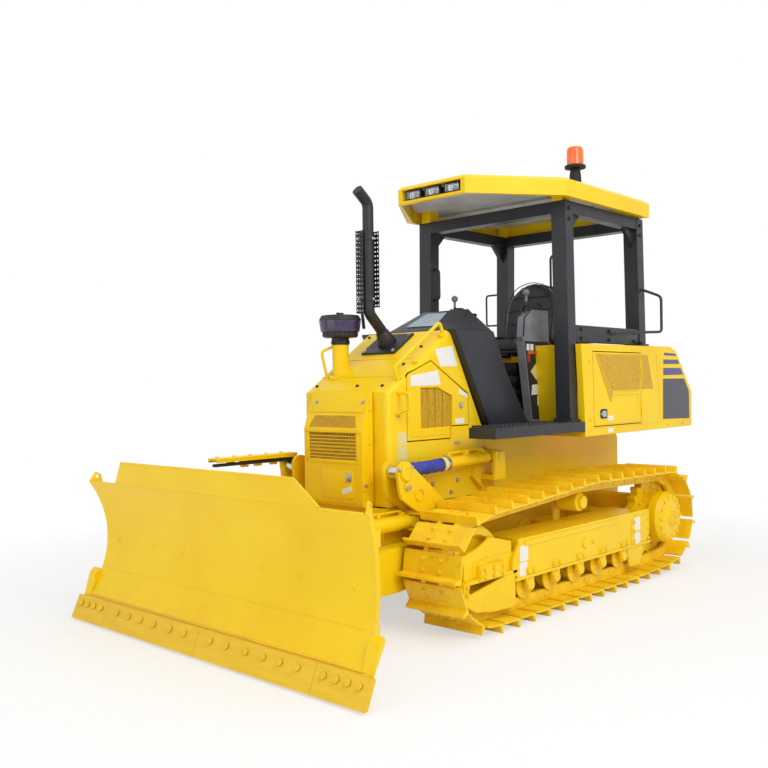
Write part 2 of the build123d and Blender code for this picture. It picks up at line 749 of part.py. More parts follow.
def blade_carrier():
    """Swivel on the C-frame's nose that angles the blade, with a crossbar for the cylinders."""
    core = bar_z(blade_pivot_x, 0, swivel_radius, blade_pivot_z - swivel_half_height,
                 blade_pivot_z + swivel_half_height)
    face = block(blade_pivot_x, blade_pivot_x + swivel_radius, -70, 70, blade_pivot_z - swivel_half_height,
                 blade_pivot_z + swivel_half_height)
    bar_bottom = angle_z - angle_eye_height / 2 - clear - lug
    bar_top = angle_z + angle_eye_height / 2 + clear + lug
    pin = bar_z(blade_pivot_x, 0, swivel_pin_radius, arm_bottom + 2, bar_bottom + 20)
    neck = block(blade_pivot_x - 60, blade_pivot_x + 44, -90, 90, arm_top - 34, bar_bottom + 30)
    crossbar = block(carrier_rear_x, carrier_front_x, -carrier_half, carrier_half, bar_bottom, bar_top)
    shaft = bar_x(0, blade_pivot_z, swivel_shaft_radius, blade_pivot_x + 45, knuckle_rear_x + 60)
    ears = []
    for x0 in (tilt_x - tilt_eye_width / 2 - eye_gap - lug, tilt_x + tilt_eye_width / 2 + eye_gap):
        ears.append(front([(tilt_base_y - 42, bar_top - 10), (tilt_base_y + 42, bar_top - 10),
                           (tilt_base_y + 42, tilt_z + 42), (tilt_base_y - 42, tilt_z + 42)], x0, x0 + lug))
    ears.append(block(tilt_x - tilt_eye_width / 2 - eye_gap - lug, carrier_rear_x + 2, tilt_base_y - 42,
                      tilt_base_y + 42, bar_bottom + 4, bar_top - 2))
    ears.append(bar_x(tilt_base_y, tilt_z, tilt_pin_radius, tilt_x - tilt_eye_width / 2 - eye_gap - lug - 6,
                      tilt_x + tilt_eye_width / 2 + eye_gap + lug + 2))
    lugs = []
    for sign in (-1, 1):
        y = sign * angle_front_y
        for z0 in (bar_bottom, bar_top - lug):
            lugs.append(plan([(carrier_rear_x + 2, y - 40), (carrier_rear_x + 2, y + 40), (angle_front_x - 10, y + 36),
                              (angle_front_x - 34, y), (angle_front_x - 10, y - 36)], z0, z0 + lug))
    return fused(core, face, pin, neck, crossbar, shaft, *ears, *lugs)


def lift_line(shape):
    """Piece drawn along X from the lift cylinder's rear pin, put in place on the left side."""
    return Pos(lift_rear_x, lift_y, lift_rear_z) * Rot(0, lift_slope, 0) * shape


def lift_barrel():
    """Barrel of the left lift cylinder with its rear eye."""
    half = lift_eye_width / 2
    head = lift_head_x - lift_rear_x
    eye = bar_y(0, 0, lift_eye_radius, -half, half)
    body = bar_x(0, 0, lift_barrel_radius, 25, head)
    cavity = bar_x(0, 0, lift_rod_radius + running, 120, head + 1)
    return lift_line(fused(eye, body) - cavity - bar_y(0, 0, lift_pin_radius + running, -half - 1, half + 1))


def lift_rod():
    """Rod of the left lift cylinder with its front eye."""
    half = lift_eye_width / 2
    eye = bar_y(lift_length, 0, lift_eye_radius, -half, half)
    rod = bar_x(0, 0, lift_rod_radius, 300, lift_length - 20)
    return lift_line(fused(eye, rod))


def lift_boot():
    """Sleeve over the left lift rod, which slides over the barrel's head."""
    start = lift_head_x - lift_rear_x - 40
    end = boot_front_x - lift_rear_x
    sleeve = bar_x(0, 0, boot_radius, start, end) - bar_x(0, 0, boot_radius - boot_wall, start - 1, end - 8)
    return lift_line(sleeve - bar_x(0, 0, lift_rod_radius + fit / 10, start - 1, end + 1))


lift_length = hypot(tower_x - lift_rear_x, tower_z - lift_rear_z)
lift_slope = degrees(atan2(lift_rear_z - tower_z, tower_x - lift_rear_x))
angle_length = hypot(angle_front_x - angle_rear_x, angle_front_y - angle_rear_y)
angle_turn = degrees(atan2(angle_front_y - angle_rear_y, angle_front_x - angle_rear_x))


def angle_barrel():
    """Barrel of the left angle cylinder, on an upright pin in the C-frame."""
    half = angle_eye_height / 2
    eye = bar_z(0, 0, angle_eye_radius, -half, half)
    neck = bar_x(0, 0, half - 2, 20, 60)
    body = bar_x(0, 0, angle_barrel_radius, 52, angle_head) - bar_x(0, 0, angle_rod_radius + running, 90, angle_head + 1)
    place = Pos(angle_rear_x, angle_rear_y, angle_z) * Rot(0, 0, angle_turn)
    return place * (fused(eye, neck, body) - bar_z(0, 0, angle_pin_radius + running, -half - 1, half + 1))


def angle_rod():
    """Rod of the left angle cylinder with the eye at the blade."""
    half = angle_eye_height / 2
    eye = bar_z(angle_length, 0, angle_eye_radius, -half, half)
    rod = bar_x(0, 0, angle_rod_radius, angle_length / 2 - 105, angle_length - 15)
    return Pos(angle_rear_x, angle_rear_y, angle_z) * Rot(0, 0, angle_turn) * fused(eye, rod)


def tilt_barrel():
    """Barrel of the tilt cylinder across the back of the blade."""
    half = tilt_eye_width / 2
    eye = bar_x(tilt_base_y, tilt_z, tilt_eye_radius, tilt_x - half, tilt_x + half)
    neck = bar_y(tilt_x, tilt_z, half - 1, tilt_base_y - 60, tilt_base_y - 20)
    body = bar_y(tilt_x, tilt_z, tilt_barrel_radius, tilt_base_y - tilt_head, tilt_base_y - 52)
    cavity = bar_y(tilt_x, tilt_z, tilt_rod_radius + running, tilt_base_y - tilt_head - 1, tilt_base_y - 90)
    bore = bar_x(tilt_base_y, tilt_z, tilt_pin_radius + running, tilt_x - half - 1, tilt_x + half + 1)
    return fused(eye, neck, body - cavity) - bore


def tilt_rod():
    """Rod of the tilt cylinder with its eye at the blade."""
    half = tilt_eye_width / 2
    eye = bar_x(tilt_rod_y, tilt_z, tilt_eye_radius, tilt_x - half, tilt_x + half)
    rod = bar_y(tilt_x, tilt_z, tilt_rod_radius, tilt_rod_y + 15, tilt_base_y - 165)
    return fused(eye, rod)


def hood_side_outline():
    """Side view of the engine hood."""
    return [
        (hood_front_x, hood_bottom), (hood_front_x, hood_front_z - 30), (hood_front_x - 20, hood_front_z),
        (hood_rear_x, hood_rear_z), (hood_foot_x, hood_foot_z), (hood_foot_x, hood_bottom),
    ]


def door_outline(gap):
    """Side view of the engine side door, or of its opening with a gap."""
    return [
        (874 + gap, 1030 - gap), (874 + gap, 1400 + gap), (858, 1418 + gap), (660, 1494 + gap),
        (310 - gap, 1292 + gap), (304 - gap, door_step_z - gap), (door_step_x - gap, door_step_z - gap),
        (door_step_x - gap, 1030 - gap),
    ]


def hood():
    """Sloping hood shell, open below, with the door openings and the mask opening cut."""
    w = hood_half_width
    outer = side(hood_side_outline(), -w, w)
    t = hood_skin
    inner = side(
        [(hood_front_x - t, hood_bottom - 1), (hood_front_x - t, hood_front_z - 40),
         (hood_front_x - 30, hood_front_z - t - 4), (hood_rear_x + 5, hood_rear_z - t - 8),
         (hood_foot_x + t, hood_foot_z + 5), (hood_foot_x + t, hood_bottom - 1)], -w + t, w - t)
    shell = outer - inner
    for y0, y1 in ((-w - 1, -w + t + 1), (w - t - 1, w + 1)):
        shell -= side(door_outline(door_gap), y0, y1)
    shell -= block(hood_front_x - t - 1, hood_front_x + 1, -mask_half_width + 20, mask_half_width - 20,
                   mask_bottom + 60, hood_front_z - 80)
    hinges = [engine_hinge(0), other_side(engine_hinge(0)), mask_hinge(0)]
    return fused(shell, *hinges)


def knuckles(x, y, heights, turn):
    """Hinge knuckles on one upright axis: one at each height, either the fixed or the moving one."""
    shift = turn * (knuckle + fit)
    return [bar_z(x, y, hinge_radius, z + shift, z + shift + knuckle) for z in heights]


engine_hinge_x = 874 + door_gap / 2
engine_hinge_y = hood_half_width + hinge_offset
mask_hinge_x = hood_front_x + 25.0
mask_hinge_y = mask_half_width + hinge_offset
locker_hinge_x = -1280 - door_gap / 2
locker_hinge_y = platform_half_width + hinge_offset


def engine_hinge(turn):
    """Hinge halves of the left engine door: 0 on the hood, 1 on the door."""
    heights = (1070, 1240)
    sign = -1 if turn else 1
    leaves = [
        block(*sorted((engine_hinge_x, engine_hinge_x + sign * 18)), hood_half_width - 1, hood_half_width + 2,
              z + turn * (knuckle + fit), z + turn * (knuckle + fit) + knuckle) for z in heights]
    return group(*knuckles(engine_hinge_x, engine_hinge_y, heights, turn), *leaves)


def mask_hinge(turn):
    """Hinge halves of the front mask: 0 on the hood, 1 on the mask."""
    heights = (740, 960, 1150)
    z_shift = turn * (knuckle + fit)
    x, y = mask_hinge_x, mask_hinge_y
    if turn:
        leaves = [block(x, x + 14, mask_half_width - 2, y, z + z_shift, z + z_shift + knuckle) for z in heights]
    else:
        leaves = [block(hood_front_x - 1, x, y, y + hinge_radius, z, z + knuckle) for z in heights]
    return group(*knuckles(x, y, heights, turn), *leaves)


def locker_hinge(turn):
    """Hinge halves of the left locker door: 0 on the body, 1 on the door."""
    heights = (1110, 1390)
    sign = 1 if turn else -1
    leaves = [
        block(*sorted((locker_hinge_x, locker_hinge_x + sign * 18)), platform_half_width - 1,
              platform_half_width + 2, z + turn * (knuckle + fit), z + turn * (knuckle + fit) + knuckle)
        for z in heights]
    return group(*knuckles(locker_hinge_x, locker_hinge_y, heights, turn), *leaves)


def engine_door():
    """Left engine side door with its grille bars."""
    w = hood_half_width
    panel = side(door_outline(0), w - door_skin, w)
    opening = side([(660, 1130), (660, 1440), (480, 1345), (350, 1265), (350, 1130)], w - door_skin - 1, w + 1)
    reach = side([(665, 1125), (665, 1445), (478, 1349), (345, 1269), (345, 1125)], w - door_skin, w - 2)
    bars = [block(340, 670, w - door_skin, w - 2, z, z + 8) & reach for z in range(1140, 1430, 24)]
    return fused(panel - opening, *bars, engine_hinge(1))


def front_mask():
    """Front mask door, with a slanted and an upright grille and a lower hatch."""
    w = mask_half_width
    x0, x1 = hood_front_x + clear, mask_front_x
    outline = [
        (x0, mask_bottom), (x1 - 10, mask_bottom), (x1, mask_bottom + 20), (x1, 1110), (x1 - 30, 1190),
        (mask_top_x, hood_front_z), (x0, hood_front_z),
    ]
    shell = side(outline, -w, w) - side(
        [(x0 - 1, mask_bottom + 14), (x1 - 14, mask_bottom + 20), (x1 - 14, 1108), (x1 - 43, 1184),
         (mask_top_x - 13, hood_front_z - 14), (x0 - 1, hood_front_z - 14)], -w + 14, w - 14)
    window = block(x1 - 40, x1 + 1, -w + 45, w - 45, 930, 1085)
    louvres = [block(x1 - 14, x1 - 2, -w + 44, w - 44, z, z + 8) for z in range(940, 1080, 20)]
    return fused(shell - window, *louvres, *mask_hinge(1).solids())


def engine_block():
    """Engine as one plain block on the chassis floor."""
    return block(250, 800, -220, 220, chassis_bottom + chassis_plate + fit, 1180)


def radiator():
    """Radiator core behind the mask."""
    return block(930, hood_front_x - hood_skin - fit, -mask_half_width + 10, mask_half_width - 10, chassis_top + 1, 1240)


def cowl():
    """Dash housing behind the hood: side cheeks, top and firewall, open at the rear."""
    w = cowl_half_width
    outline = [
        (hood_rear_x + 2, hood_rear_z + 4), (560, 1810), (540, 1835), (208, 1835), (150, 1790), (-60, 1400),
        (-279, platform_top + fit), (hood_foot_x + 4, platform_top + fit),
    ]
    outer = side(outline, -w, w)
    inner = side(
        [(hood_rear_x - 24, hood_rear_z), (500, 1808), (100, 1810), (-360, platform_top - 1),
         (hood_foot_x - 26, platform_top - 1)], -w + cowl_wall, w - cowl_wall)
    return outer - inner


def floor_deck():
    """Operator's platform: floor plate, sills and step plates over the tracks."""
    w = platform_half_width
    deck = block(platform_rear_x, platform_front_x, -w, w, platform_top - 14, platform_top)
    sill = block(platform_rear_x, platform_front_x, w - 14, w, platform_bottom, platform_top)
    ends = block(platform_front_x - 14, platform_front_x, tower_outer + clear, w, platform_bottom, platform_top)
    well = block(body_cross_x, platform_rear_x + 1, -body_inner + 1, body_inner - 1, platform_top - 14, platform_top)
    slot = block(hood_foot_x - 1, platform_front_x + 1, -hood_half_width - clear, hood_half_width + clear,
                 platform_bottom, platform_top + 1)
    notch = block(280, platform_front_x + 1, -tower_outer - clear, tower_outer + clear, platform_bottom, platform_top + 1)
    return fused(deck, sill, other_side(sill), ends, other_side(ends), well) - slot - notch


def rear_body():
    """Tank and locker body behind and beside the seat."""
    w = platform_half_width
    outline = [
        (body_front_x, body_bottom), (body_front_x, platform_top), (body_front_x + 40, body_top),
        (body_shoulder_x + 106, body_top + 8),
        (body_shoulder_x, body_top - 24), (body_rear_x, body_rear_z), (body_rear_x + 8, body_bottom + 8),
    ]
    outer = side(outline, -w, w)
    well = block(body_cross_x, 0, -body_inner, body_inner, body_bottom - 1, body_top + 20)
    lockers = []
    for sign in (-1, 1):
        y0, y1 = sorted((sign * (w - locker_depth), sign * (w + 1)))
        lockers.append(side(locker_outline(-door_gap), y0, y1))
    body = outer - well
    for cut in [*lockers, post_notch(), other_side(post_notch())]:
        body -= cut
    hinge = locker_hinge(0)
    return fused(body, *hinge.solids(), *other_side(hinge).solids())


def locker_outline(inset):
    """Side view of the locker door, or of its opening with a negative inset."""
    return [
        (-620 - inset, 1060 + inset), (-612 - inset, 1560 - inset), (-1280 + inset, 1560 - inset),
        (-1280 + inset, 1060 + inset),
    ]


def locker_door():
    """Left locker door with a recessed grille of two slopes."""
    w = platform_half_width
    panel = side(locker_outline(0), w - door_skin, w)
    recess = block(-1240, -900, w - 4, w + 1, 1150, 1520)
    return fused(panel - recess, *locker_hinge(1).solids())


def post_notch():
    """Notch in the rear body's left front corner for the front post."""
    return block(post_front_x - post_depth - fit, post_front_x, post_outer_head - post_width - fit,
                 post_outer_foot + fit, body_bottom - 1, body_top + 20)


def post_outline():
    """Front view of a left canopy post, leaning inwards."""
    return [
        (post_outer_foot, platform_top + fit), (post_outer_head, post_head),
        (post_outer_head - post_width, post_head), (post_outer_foot - post_width, platform_top + fit),
    ]


def rops_frame():
    """Canopy frame: four posts, upper and belt beams with gussets."""
    front_post = front(post_outline(), post_front_x - post_depth, post_front_x)
    rear_foot = body_top + 8.5
    rear_post = front(
        [(post_outer_foot - 6, rear_foot), (post_outer_head, post_head), (post_outer_head - post_width, post_head),
         (post_outer_foot - 6 - post_width, rear_foot)], post_rear_x - post_depth, post_rear_x)
    z0, z1 = post_head - beam_depth, post_head
    y1 = post_outer_head - 2
    beam = block(post_rear_x - post_depth, post_front_x, y1 - 80, y1, z0, z1)
    cross = [
        block(x - post_depth, x, -y1, y1, z0, z1) for x in (post_front_x, post_rear_x)
    ]
    belt_rail = block(post_rear_x, post_front_x - post_depth + 1, post_outer_foot - 60, post_outer_foot - 20,
                      body_top + 45, body_top + 95)
    belt_cross = block(post_rear_x - post_depth + 20, post_rear_x - 20, -post_outer_foot + 60,
                       post_outer_foot - 60, body_top + 45, body_top + 95)
    gusset_front = side(
        [(post_front_x - post_depth + 1, z0 + 1), (post_front_x - post_depth + 1, z0 - 130),
         (post_front_x - post_depth - 130, z0 + 1)], y1 - 60, y1 - 30)
    gusset_rear = side(
        [(post_rear_x - 1, z0 + 1), (post_rear_x - 1, z0 - 130), (post_rear_x + 130, z0 + 1)], y1 - 60, y1 - 30)
    left = [front_post, rear_post, beam, belt_rail, gusset_front, gusset_rear]
    return fused(*left, *[other_side(part) for part in left], *cross, belt_cross)


def roof_outline(inset):
    """Plan of the roof, with chamfered front corners."""
    return [
        (roof_front_x - inset, -roof_front_half), (roof_front_x - inset, roof_front_half),
        (roof_corner_x - inset, roof_half_width - inset), (roof_rear_x + inset, roof_half_width - inset),
        (roof_rear_x + inset, -roof_half_width + inset), (roof_corner_x - inset, -roof_half_width + inset),
    ]


def roof_canopy():
    """Roof shell on the canopy frame, hollow below."""
    outer = plan(roof_outline(0), roof_bottom, roof_top)
    outer = chamfer(outer.faces().sort_by(Axis.Z)[-1].edges(), 22)
    hollow = plan(roof_outline(roof_wall), roof_bottom - 1, roof_top - roof_wall)
    recess = block(roof_front_x - 60, roof_front_x + 1, -250, 250, roof_bottom + 20, roof_top - 28)
    pads = [
        block(x - post_depth, x, sign * 570 - 40, sign * 570 + 40, post_head + fit, roof_top - roof_wall + 1)
        for x in (post_front_x, post_rear_x) for sign in (-1, 1)
    ]
    return fused(outer - hollow - recess, *pads)


def roof_lamps():
    """Three work lamps in the recess at the roof's front."""
    lamps = []
    for y in (-165, 0, 165):
        lamps.append(block(roof_front_x - 35 + fit - 25 + 0.3, roof_front_x - 10, y - 60, y + 60, roof_bottom + 26, roof_top - 34))
    return group(*lamps)


def beacon():
    """Amber beacon on a tapered stem at the roof's left edge."""
    x, y = -580.0, 600.0
    z = roof_top + fit
    return fused(
        turned_z([(0, 0), (48, 0), (40, 70), (30, 118), (0, 118)], x, y, z),
        turned_z([(0, 116), (71, 116), (71, 132), (0, 132)], x, y, z),
        turned_z([(0, 130), (56, 130), (54, 240), (44, 254), (0, 257)], x, y, z),
    )


def seat():
    """Seat cushion and backrest on a suspension base."""
    half = seat_width / 2
    base = block(seat_rear_x + 60, seat_front_x - 80, -170, 170, platform_top + fit, seat_top - cushion_thickness + 1)
    cushion = block(seat_rear_x, seat_front_x, -half, half, seat_top - cushion_thickness, seat_top)
    cushion = fillet(cushion.edges().filter_by(Axis.Z), 60)
    back = side(
        [(seat_rear_x + 60, seat_top - 60), (seat_rear_x - 70, seat_back_top), (seat_rear_x - 180, seat_back_top),
         (seat_rear_x - 60, seat_top - cushion_thickness)], -half + 10, half - 10)
    return fused(base, cushion, back)


def consoles():
    """Left and right control consoles beside the seat."""
    top = side(
        [(-313, 1670), (-330, 1800), (-420, 1862), (-630, 1862), (-640, 1640), (-330, 1640)], 290, 335)
    panel = side(
        [(-330, 1648), (-640, 1648), (-640, platform_top + fit), (-420, platform_top + fit)], 275, 335)
    stick = fused(bar_z(-400, 312, 9, 1830, 1960), Pos(-400, 312, 1975) * Sphere(24))
    return both(fused(top, panel, stick))


def exhaust_stack():
    """Exhaust pipe: flange on the hood's slope, elbow, upright pipe and bent outlet."""
    top = 2440.0
    flange_z = hood_height(flange_x) + 1
    rise, run = hood_rear_z - hood_front_z, hood_front_x - 20 - hood_rear_x
    sine, cosine = rise / hypot(rise, run), run / hypot(rise, run)
    route = [
        (flange_x + 6 * sine, stack_y, flange_z + 6 * cosine), (flange_x + 110 * sine, stack_y, flange_z + 110 * cosine),
        (stack_x, stack_y, flange_z + 190), (stack_x, stack_y, top),
    ]
    outer = pipe(route, 60, stack_radius)
    tip = pipe([(stack_x, stack_y, top - 40), (stack_x, stack_y, top + 30), (stack_x + 90, stack_y, top + 100)],
               60, stack_radius)
    slope = degrees(atan2(rise, run))
    plate = Pos(flange_x, stack_y, hood_height(flange_x) + 1) * Rot(0, slope, 0) * Pos(0, 0, 6) * Box(220, 280, 12)
    return fused(outer, tip, plate)


def hood_height(x):
    """Height of the hood's sloping top at a place along it."""
    share = (hood_front_x - 20 - x) / (hood_front_x - 20 - hood_rear_x)
    return hood_front_z + share * (hood_rear_z - hood_front_z)


def precleaner():
    """Air pre-cleaner: neck, flared base, clear bowl and cap."""
    neck_foot = hood_height(precleaner_x)
    foot = turned_z([(0, 0), (neck_radius, 0), (neck_radius, 1640 - neck_foot + 60), (0, 1640 - neck_foot + 60)],
                    precleaner_x, precleaner_y, neck_foot - 60)
    foot = foot - side([(hood_front_x, hood_bottom), (hood_front_x - 20, hood_front_z + fit),
                        (hood_rear_x, hood_rear_z + fit), (hood_rear_x, hood_bottom)], -hood_half_width, 0)
    head = turned_z(
        [(0, 0), (60, 0), (bowl_radius, 26), (bowl_radius, 40), (bowl_radius - 4, 118), (bowl_radius, 122),
         (bowl_radius - 6, 140), (0, 146)], precleaner_x, precleaner_y, 1638)
    return fused(foot, head)


def handrails():
    """Grab handles on both sides of the hood's front and on both front canopy posts."""
    grips = []
    for sign, reach in ((1, grip_reach_left), (-1, grip_reach_right)):
        near, far = sign * (hood_half_width + fit), sign * (hood_half_width + reach)
        grips.append(pipe([(955, near, 1230), (955, far, 1230), (955, far, 1335), (955, near, 1335)], 25, 11))
    y = post_outer_head
    post_loop = pipe(
        [(post_front_x + fit, y - 50, 1800), (post_front_x + 70, y - 50, 1800), (post_front_x + 70, y - 50, 2140),
         (post_front_x + fit, y - 50, 2140)], 30, 12)
    return group(*grips, both(post_loop))


def save(name, shape):
    """Write one piece of the machine to its own file."""
    export_step(shape, f"parts/{name}.step")


def pairs():
    """Moving pieces that come in mirror pairs."""
    return {
        "lift_barrel": lift_barrel(), "lift_rod": lift_rod(), "lift_boot": lift_boot(),
        "angle_barrel": angle_barrel(), "angle_rod": angle_rod(),
        "engine_door": engine_door(), "locker_door": locker_door(),
    }


def main():
    os.makedirs("parts", exist_ok=True)
    single = {
        "main_frame": main_frame(), "hood": hood(), "engine_block": engine_block(), "radiator": radiator(),
        "cowl": cowl(), "floor_deck": floor_deck(), "rops_frame": rops_frame(), "roof_canopy": roof_canopy(),
        "roof_lamps": roof_lamps(), "beacon": beacon(), "seat": seat(), "consoles": consoles(),
        "rear_body": rear_body(), "exhaust_stack": exhaust_stack(), "precleaner": precleaner(),
        "handrails": handrails(), "track_frames": both(track_frame()), "track_left": track(1),
        "track_right": track(-1), "final_drives": both(final_drive()), "idlers": both(idler()),
        "track_rollers": both(rollers()), "c_frame": c_frame(), "hose_guard": hose_guard(),
        "blade_carrier": blade_carrier(), "blade": blade(), "cutting_edge": cutting_edge(),
        "tilt_barrel": tilt_barrel(), "tilt_rod": tilt_rod(), "front_mask": front_mask(),
    }
    for name, shape in single.items():
        save(name, shape)
    for name, shape in pairs().items():
        save(f"{name}_left", shape)
        save(f"{name}_right", other_side(shape))


if __name__ == "__main__":
    main()
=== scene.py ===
"""Looks of a small crawler bulldozer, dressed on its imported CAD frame."""

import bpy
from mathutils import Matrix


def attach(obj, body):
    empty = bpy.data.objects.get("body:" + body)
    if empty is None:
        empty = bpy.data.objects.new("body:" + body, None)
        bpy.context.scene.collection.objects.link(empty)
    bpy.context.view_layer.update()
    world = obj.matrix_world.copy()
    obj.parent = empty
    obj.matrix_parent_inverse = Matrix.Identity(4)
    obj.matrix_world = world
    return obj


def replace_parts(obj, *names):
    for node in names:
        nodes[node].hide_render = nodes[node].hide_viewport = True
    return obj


bl_info = {
    "name": "Crawler Bulldozer",
    "version": (1, 0, 0),
    "blender": (4, 5, 0),
    "location": "3D View > Sidebar > Dozer",
    "description": "Dresses the packed crawler bulldozer and sets up its studio",
    "category": "Add Mesh",
}

from math import asin, atan2, cos, hypot, pi, radians, sin, sqrt

import bpy
from mathutils import Matrix, Vector

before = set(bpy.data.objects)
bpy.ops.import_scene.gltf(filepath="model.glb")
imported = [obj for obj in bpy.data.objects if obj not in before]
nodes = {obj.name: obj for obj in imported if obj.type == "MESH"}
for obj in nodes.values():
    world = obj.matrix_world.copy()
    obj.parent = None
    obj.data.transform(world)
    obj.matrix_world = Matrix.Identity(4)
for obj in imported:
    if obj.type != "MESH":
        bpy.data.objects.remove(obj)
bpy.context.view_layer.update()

MM = 0.001


def linear(hex_colour):
    """sRGB hex digits as a linear colour with alpha."""
    def channel(text):
        value = int(text, 16) / 255
        return value / 12.92 if value <= 0.04045 else ((value + 0.055) / 1.055) ** 2.4

    return (*(channel(hex_colour[start:start + 2]) for start in (0, 2, 4)), 1.0)


# ---------------------------------------------------------------- materials

def node(tree, kind, settings=None, inputs=None):
    """Add a node, with its settings, and its inputs set to values or joined to sockets."""
    made = tree.nodes.new(kind)
    for key, value in (settings or {}).items():
        setattr(made, key, value)
    for key, value in (inputs or {}).items():
        if isinstance(value, bpy.types.NodeSocket):
            tree.links.new(value, made.inputs[key])
        else:
            made.inputs[key].default_value = value
    return made


def blank(name, **principled):
    """A new material with its tree, its surface shader and its object coordinates."""
    material = bpy.data.materials.new(name)
    material.use_nodes = True
    tree = material.node_tree
    tree.nodes.clear()
    surface = node(tree, "ShaderNodeBsdfPrincipled", inputs=principled)
    node(tree, "ShaderNodeOutputMaterial", inputs={"Surface": surface.outputs[0]})
    place = node(tree, "ShaderNodeTexCoord").outputs["Object"]
    return material, tree, surface, place


def noise(tree, place, size_mm, detail=2.0, roughness=0.5):
    """Noise whose grains are about size_mm across."""
    return node(tree, "ShaderNodeTexNoise", inputs={
        "Vector": place, "Scale": 1000 / size_mm, "Detail": detail, "Roughness": roughness}).outputs["Fac"]


def ramp(tree, value, low, high, to_low=0.0, to_high=1.0):
    """Map a value's range to another, clamped."""
    return node(tree, "ShaderNodeMapRange", {"clamp": True}, {
        "Value": value, "From Min": low, "From Max": high, "To Min": to_low, "To Max": to_high}).outputs["Result"]


def mix(tree, share, first, second):
    """Blend of two colours."""
    made = node(tree, "ShaderNodeMix", {"data_type": "RGBA"})
    for socket, value in ((0, share), (6, first), (7, second)):
        if isinstance(value, bpy.types.NodeSocket):
            tree.links.new(value, made.inputs[socket])
        else:
            made.inputs[socket].default_value = value
    return made.outputs[2]


def bump(tree, height, distance_mm, strength=1.0):
    """Normal from a height pattern."""
    return node(tree, "ShaderNodeBump", inputs={
        "Height": height, "Distance": distance_mm * MM, "Strength": strength}).outputs["Normal"]


def math(tree, operation, first, second=0.0):
    """One step of arithmetic on values."""
    return node(tree, "ShaderNodeMath", {"operation": operation}, {0: first, 1: second}).outputs[0]


def yellow_enamel():
    """Two-pack enamel on welded steel: high gloss, orange peel about 4 mm across, softened edges."""
    material, tree, surface, place = blank("yellow_enamel")
    broad = noise(tree, place, 420, 3)
    shade = mix(tree, ramp(tree, broad, 0.3, 0.7), linear("F6CB08"), linear("FBD614"))
    low = ramp(tree, node(tree, "ShaderNodeSeparateXYZ", inputs={0: place}).outputs["Z"], 0.0, 0.55, 0.14, 0.0)
    dust = math(tree, "MULTIPLY", low, ramp(tree, noise(tree, place, 60, 5, 0.7), 0.45, 0.75))
    tree.links.new(mix(tree, dust, shade, linear("B79A3A")), surface.inputs["Base Color"])
    tree.links.new(ramp(tree, noise(tree, place, 90, 4), 0.3, 0.7, 0.30, 0.42), surface.inputs["Roughness"])
    surface.inputs["Specular IOR Level"].default_value = 0.3
    soft = node(tree, "ShaderNodeBevel", {"samples": 4}, {"Radius": 0.003}).outputs[0]
    peel = node(tree, "ShaderNodeBump", inputs={
        "Height": noise(tree, place, 5, 1), "Distance": 0.00025, "Strength": 0.5, "Normal": soft})
    tree.links.new(peel.outputs["Normal"], surface.inputs["Normal"])
    return material


def track_enamel():
    """The same enamel sprayed on rolled shoes and links: thinner, half gloss, scuffed and dusty."""
    material, tree, surface, place = blank("track_enamel")
    broad = noise(tree, place, 130, 4, 0.6)
    shade = mix(tree, ramp(tree, broad, 0.35, 0.65), linear("F2C40D"), linear("FFD81A"))
    grime = ramp(tree, noise(tree, place, 34, 6, 0.75), 0.56, 0.74, 0.0, 0.5)
    tree.links.new(mix(tree, grime, shade, linear("8A7426")), surface.inputs["Base Color"])
    tree.links.new(ramp(tree, broad, 0.3, 0.7, 0.42, 0.58), surface.inputs["Roughness"])
    tree.links.new(bump(tree, noise(tree, place, 7, 4, 0.6), 0.6, 0.6), surface.inputs["Normal"])
    return material


def edge_enamel():
    """Enamel over flame-cut blade steel: flatter, with rolling marks along the blade."""
    material, tree, surface, place = blank("edge_enamel")
    stretched = node(tree, "ShaderNodeMapping", inputs={"Vector": place, "Scale": (1.0, 0.12, 1.0)}).outputs[0]
    marks = noise(tree, stretched, 26, 5, 0.65)
    tree.links.new(mix(tree, ramp(tree, marks, 0.3, 0.75), linear("F0C60C"), linear("E2B60E")),
                   surface.inputs["Base Color"])
    tree.links.new(ramp(tree, marks, 0.3, 0.7, 0.38, 0.52), surface.inputs["Roughness"])
    tree.links.new(bump(tree, marks, 0.5, 0.4), surface.inputs["Normal"])
    return material


def grille_enamel():
    """Mustard enamel on pressed mesh: satin, a shade browner than the panels, with painted shade darkening the middle
    of each hole.
    """
    material, tree, surface, place = blank("grille_enamel", Roughness=0.5)
    cells = node(tree, "ShaderNodeTexVoronoi", {"feature": "F1"},
                 {"Vector": place, "Scale": 1000 / 9}).outputs["Distance"]
    # painted shade: the middle of each mesh cell, where the bump dents it, is mixed to the darker mustard B48C10
    hole = ramp(tree, cells, 0.28, 0.42)
    tree.links.new(mix(tree, hole, linear("B48C10"), linear("DDB01C")), surface.inputs["Base Color"])
    tree.links.new(bump(tree, hole, 1.2, 0.8), surface.inputs["Normal"])
    return material


def satin_paint(name, colour, roughness=0.45, grain_mm=3.0):
    """Powder coat: satin, with a fine even pebble."""
    material, tree, surface, place = blank(name)
    broad = noise(tree, place, 160, 3)
    darker = tuple(0.72 * part for part in linear(colour)[:3]) + (1.0,)
    tree.links.new(mix(tree, ramp(tree, broad, 0.3, 0.7, 0.0, 0.8), linear(colour), darker),
                   surface.inputs["Base Color"])
    tree.links.new(ramp(tree, broad, 0.3, 0.7, roughness - 0.06, roughness + 0.06), surface.inputs["Roughness"])
    soft = node(tree, "ShaderNodeBevel", {"samples": 4}, {"Radius": 0.003}).outputs[0]
    pebble = node(tree, "ShaderNodeBump", inputs={
        "Height": noise(tree, place, grain_mm, 2), "Distance": 0.0002, "Strength": 0.5, "Normal": soft})
    tree.links.new(pebble.outputs["Normal"], surface.inputs["Normal"])
    return material


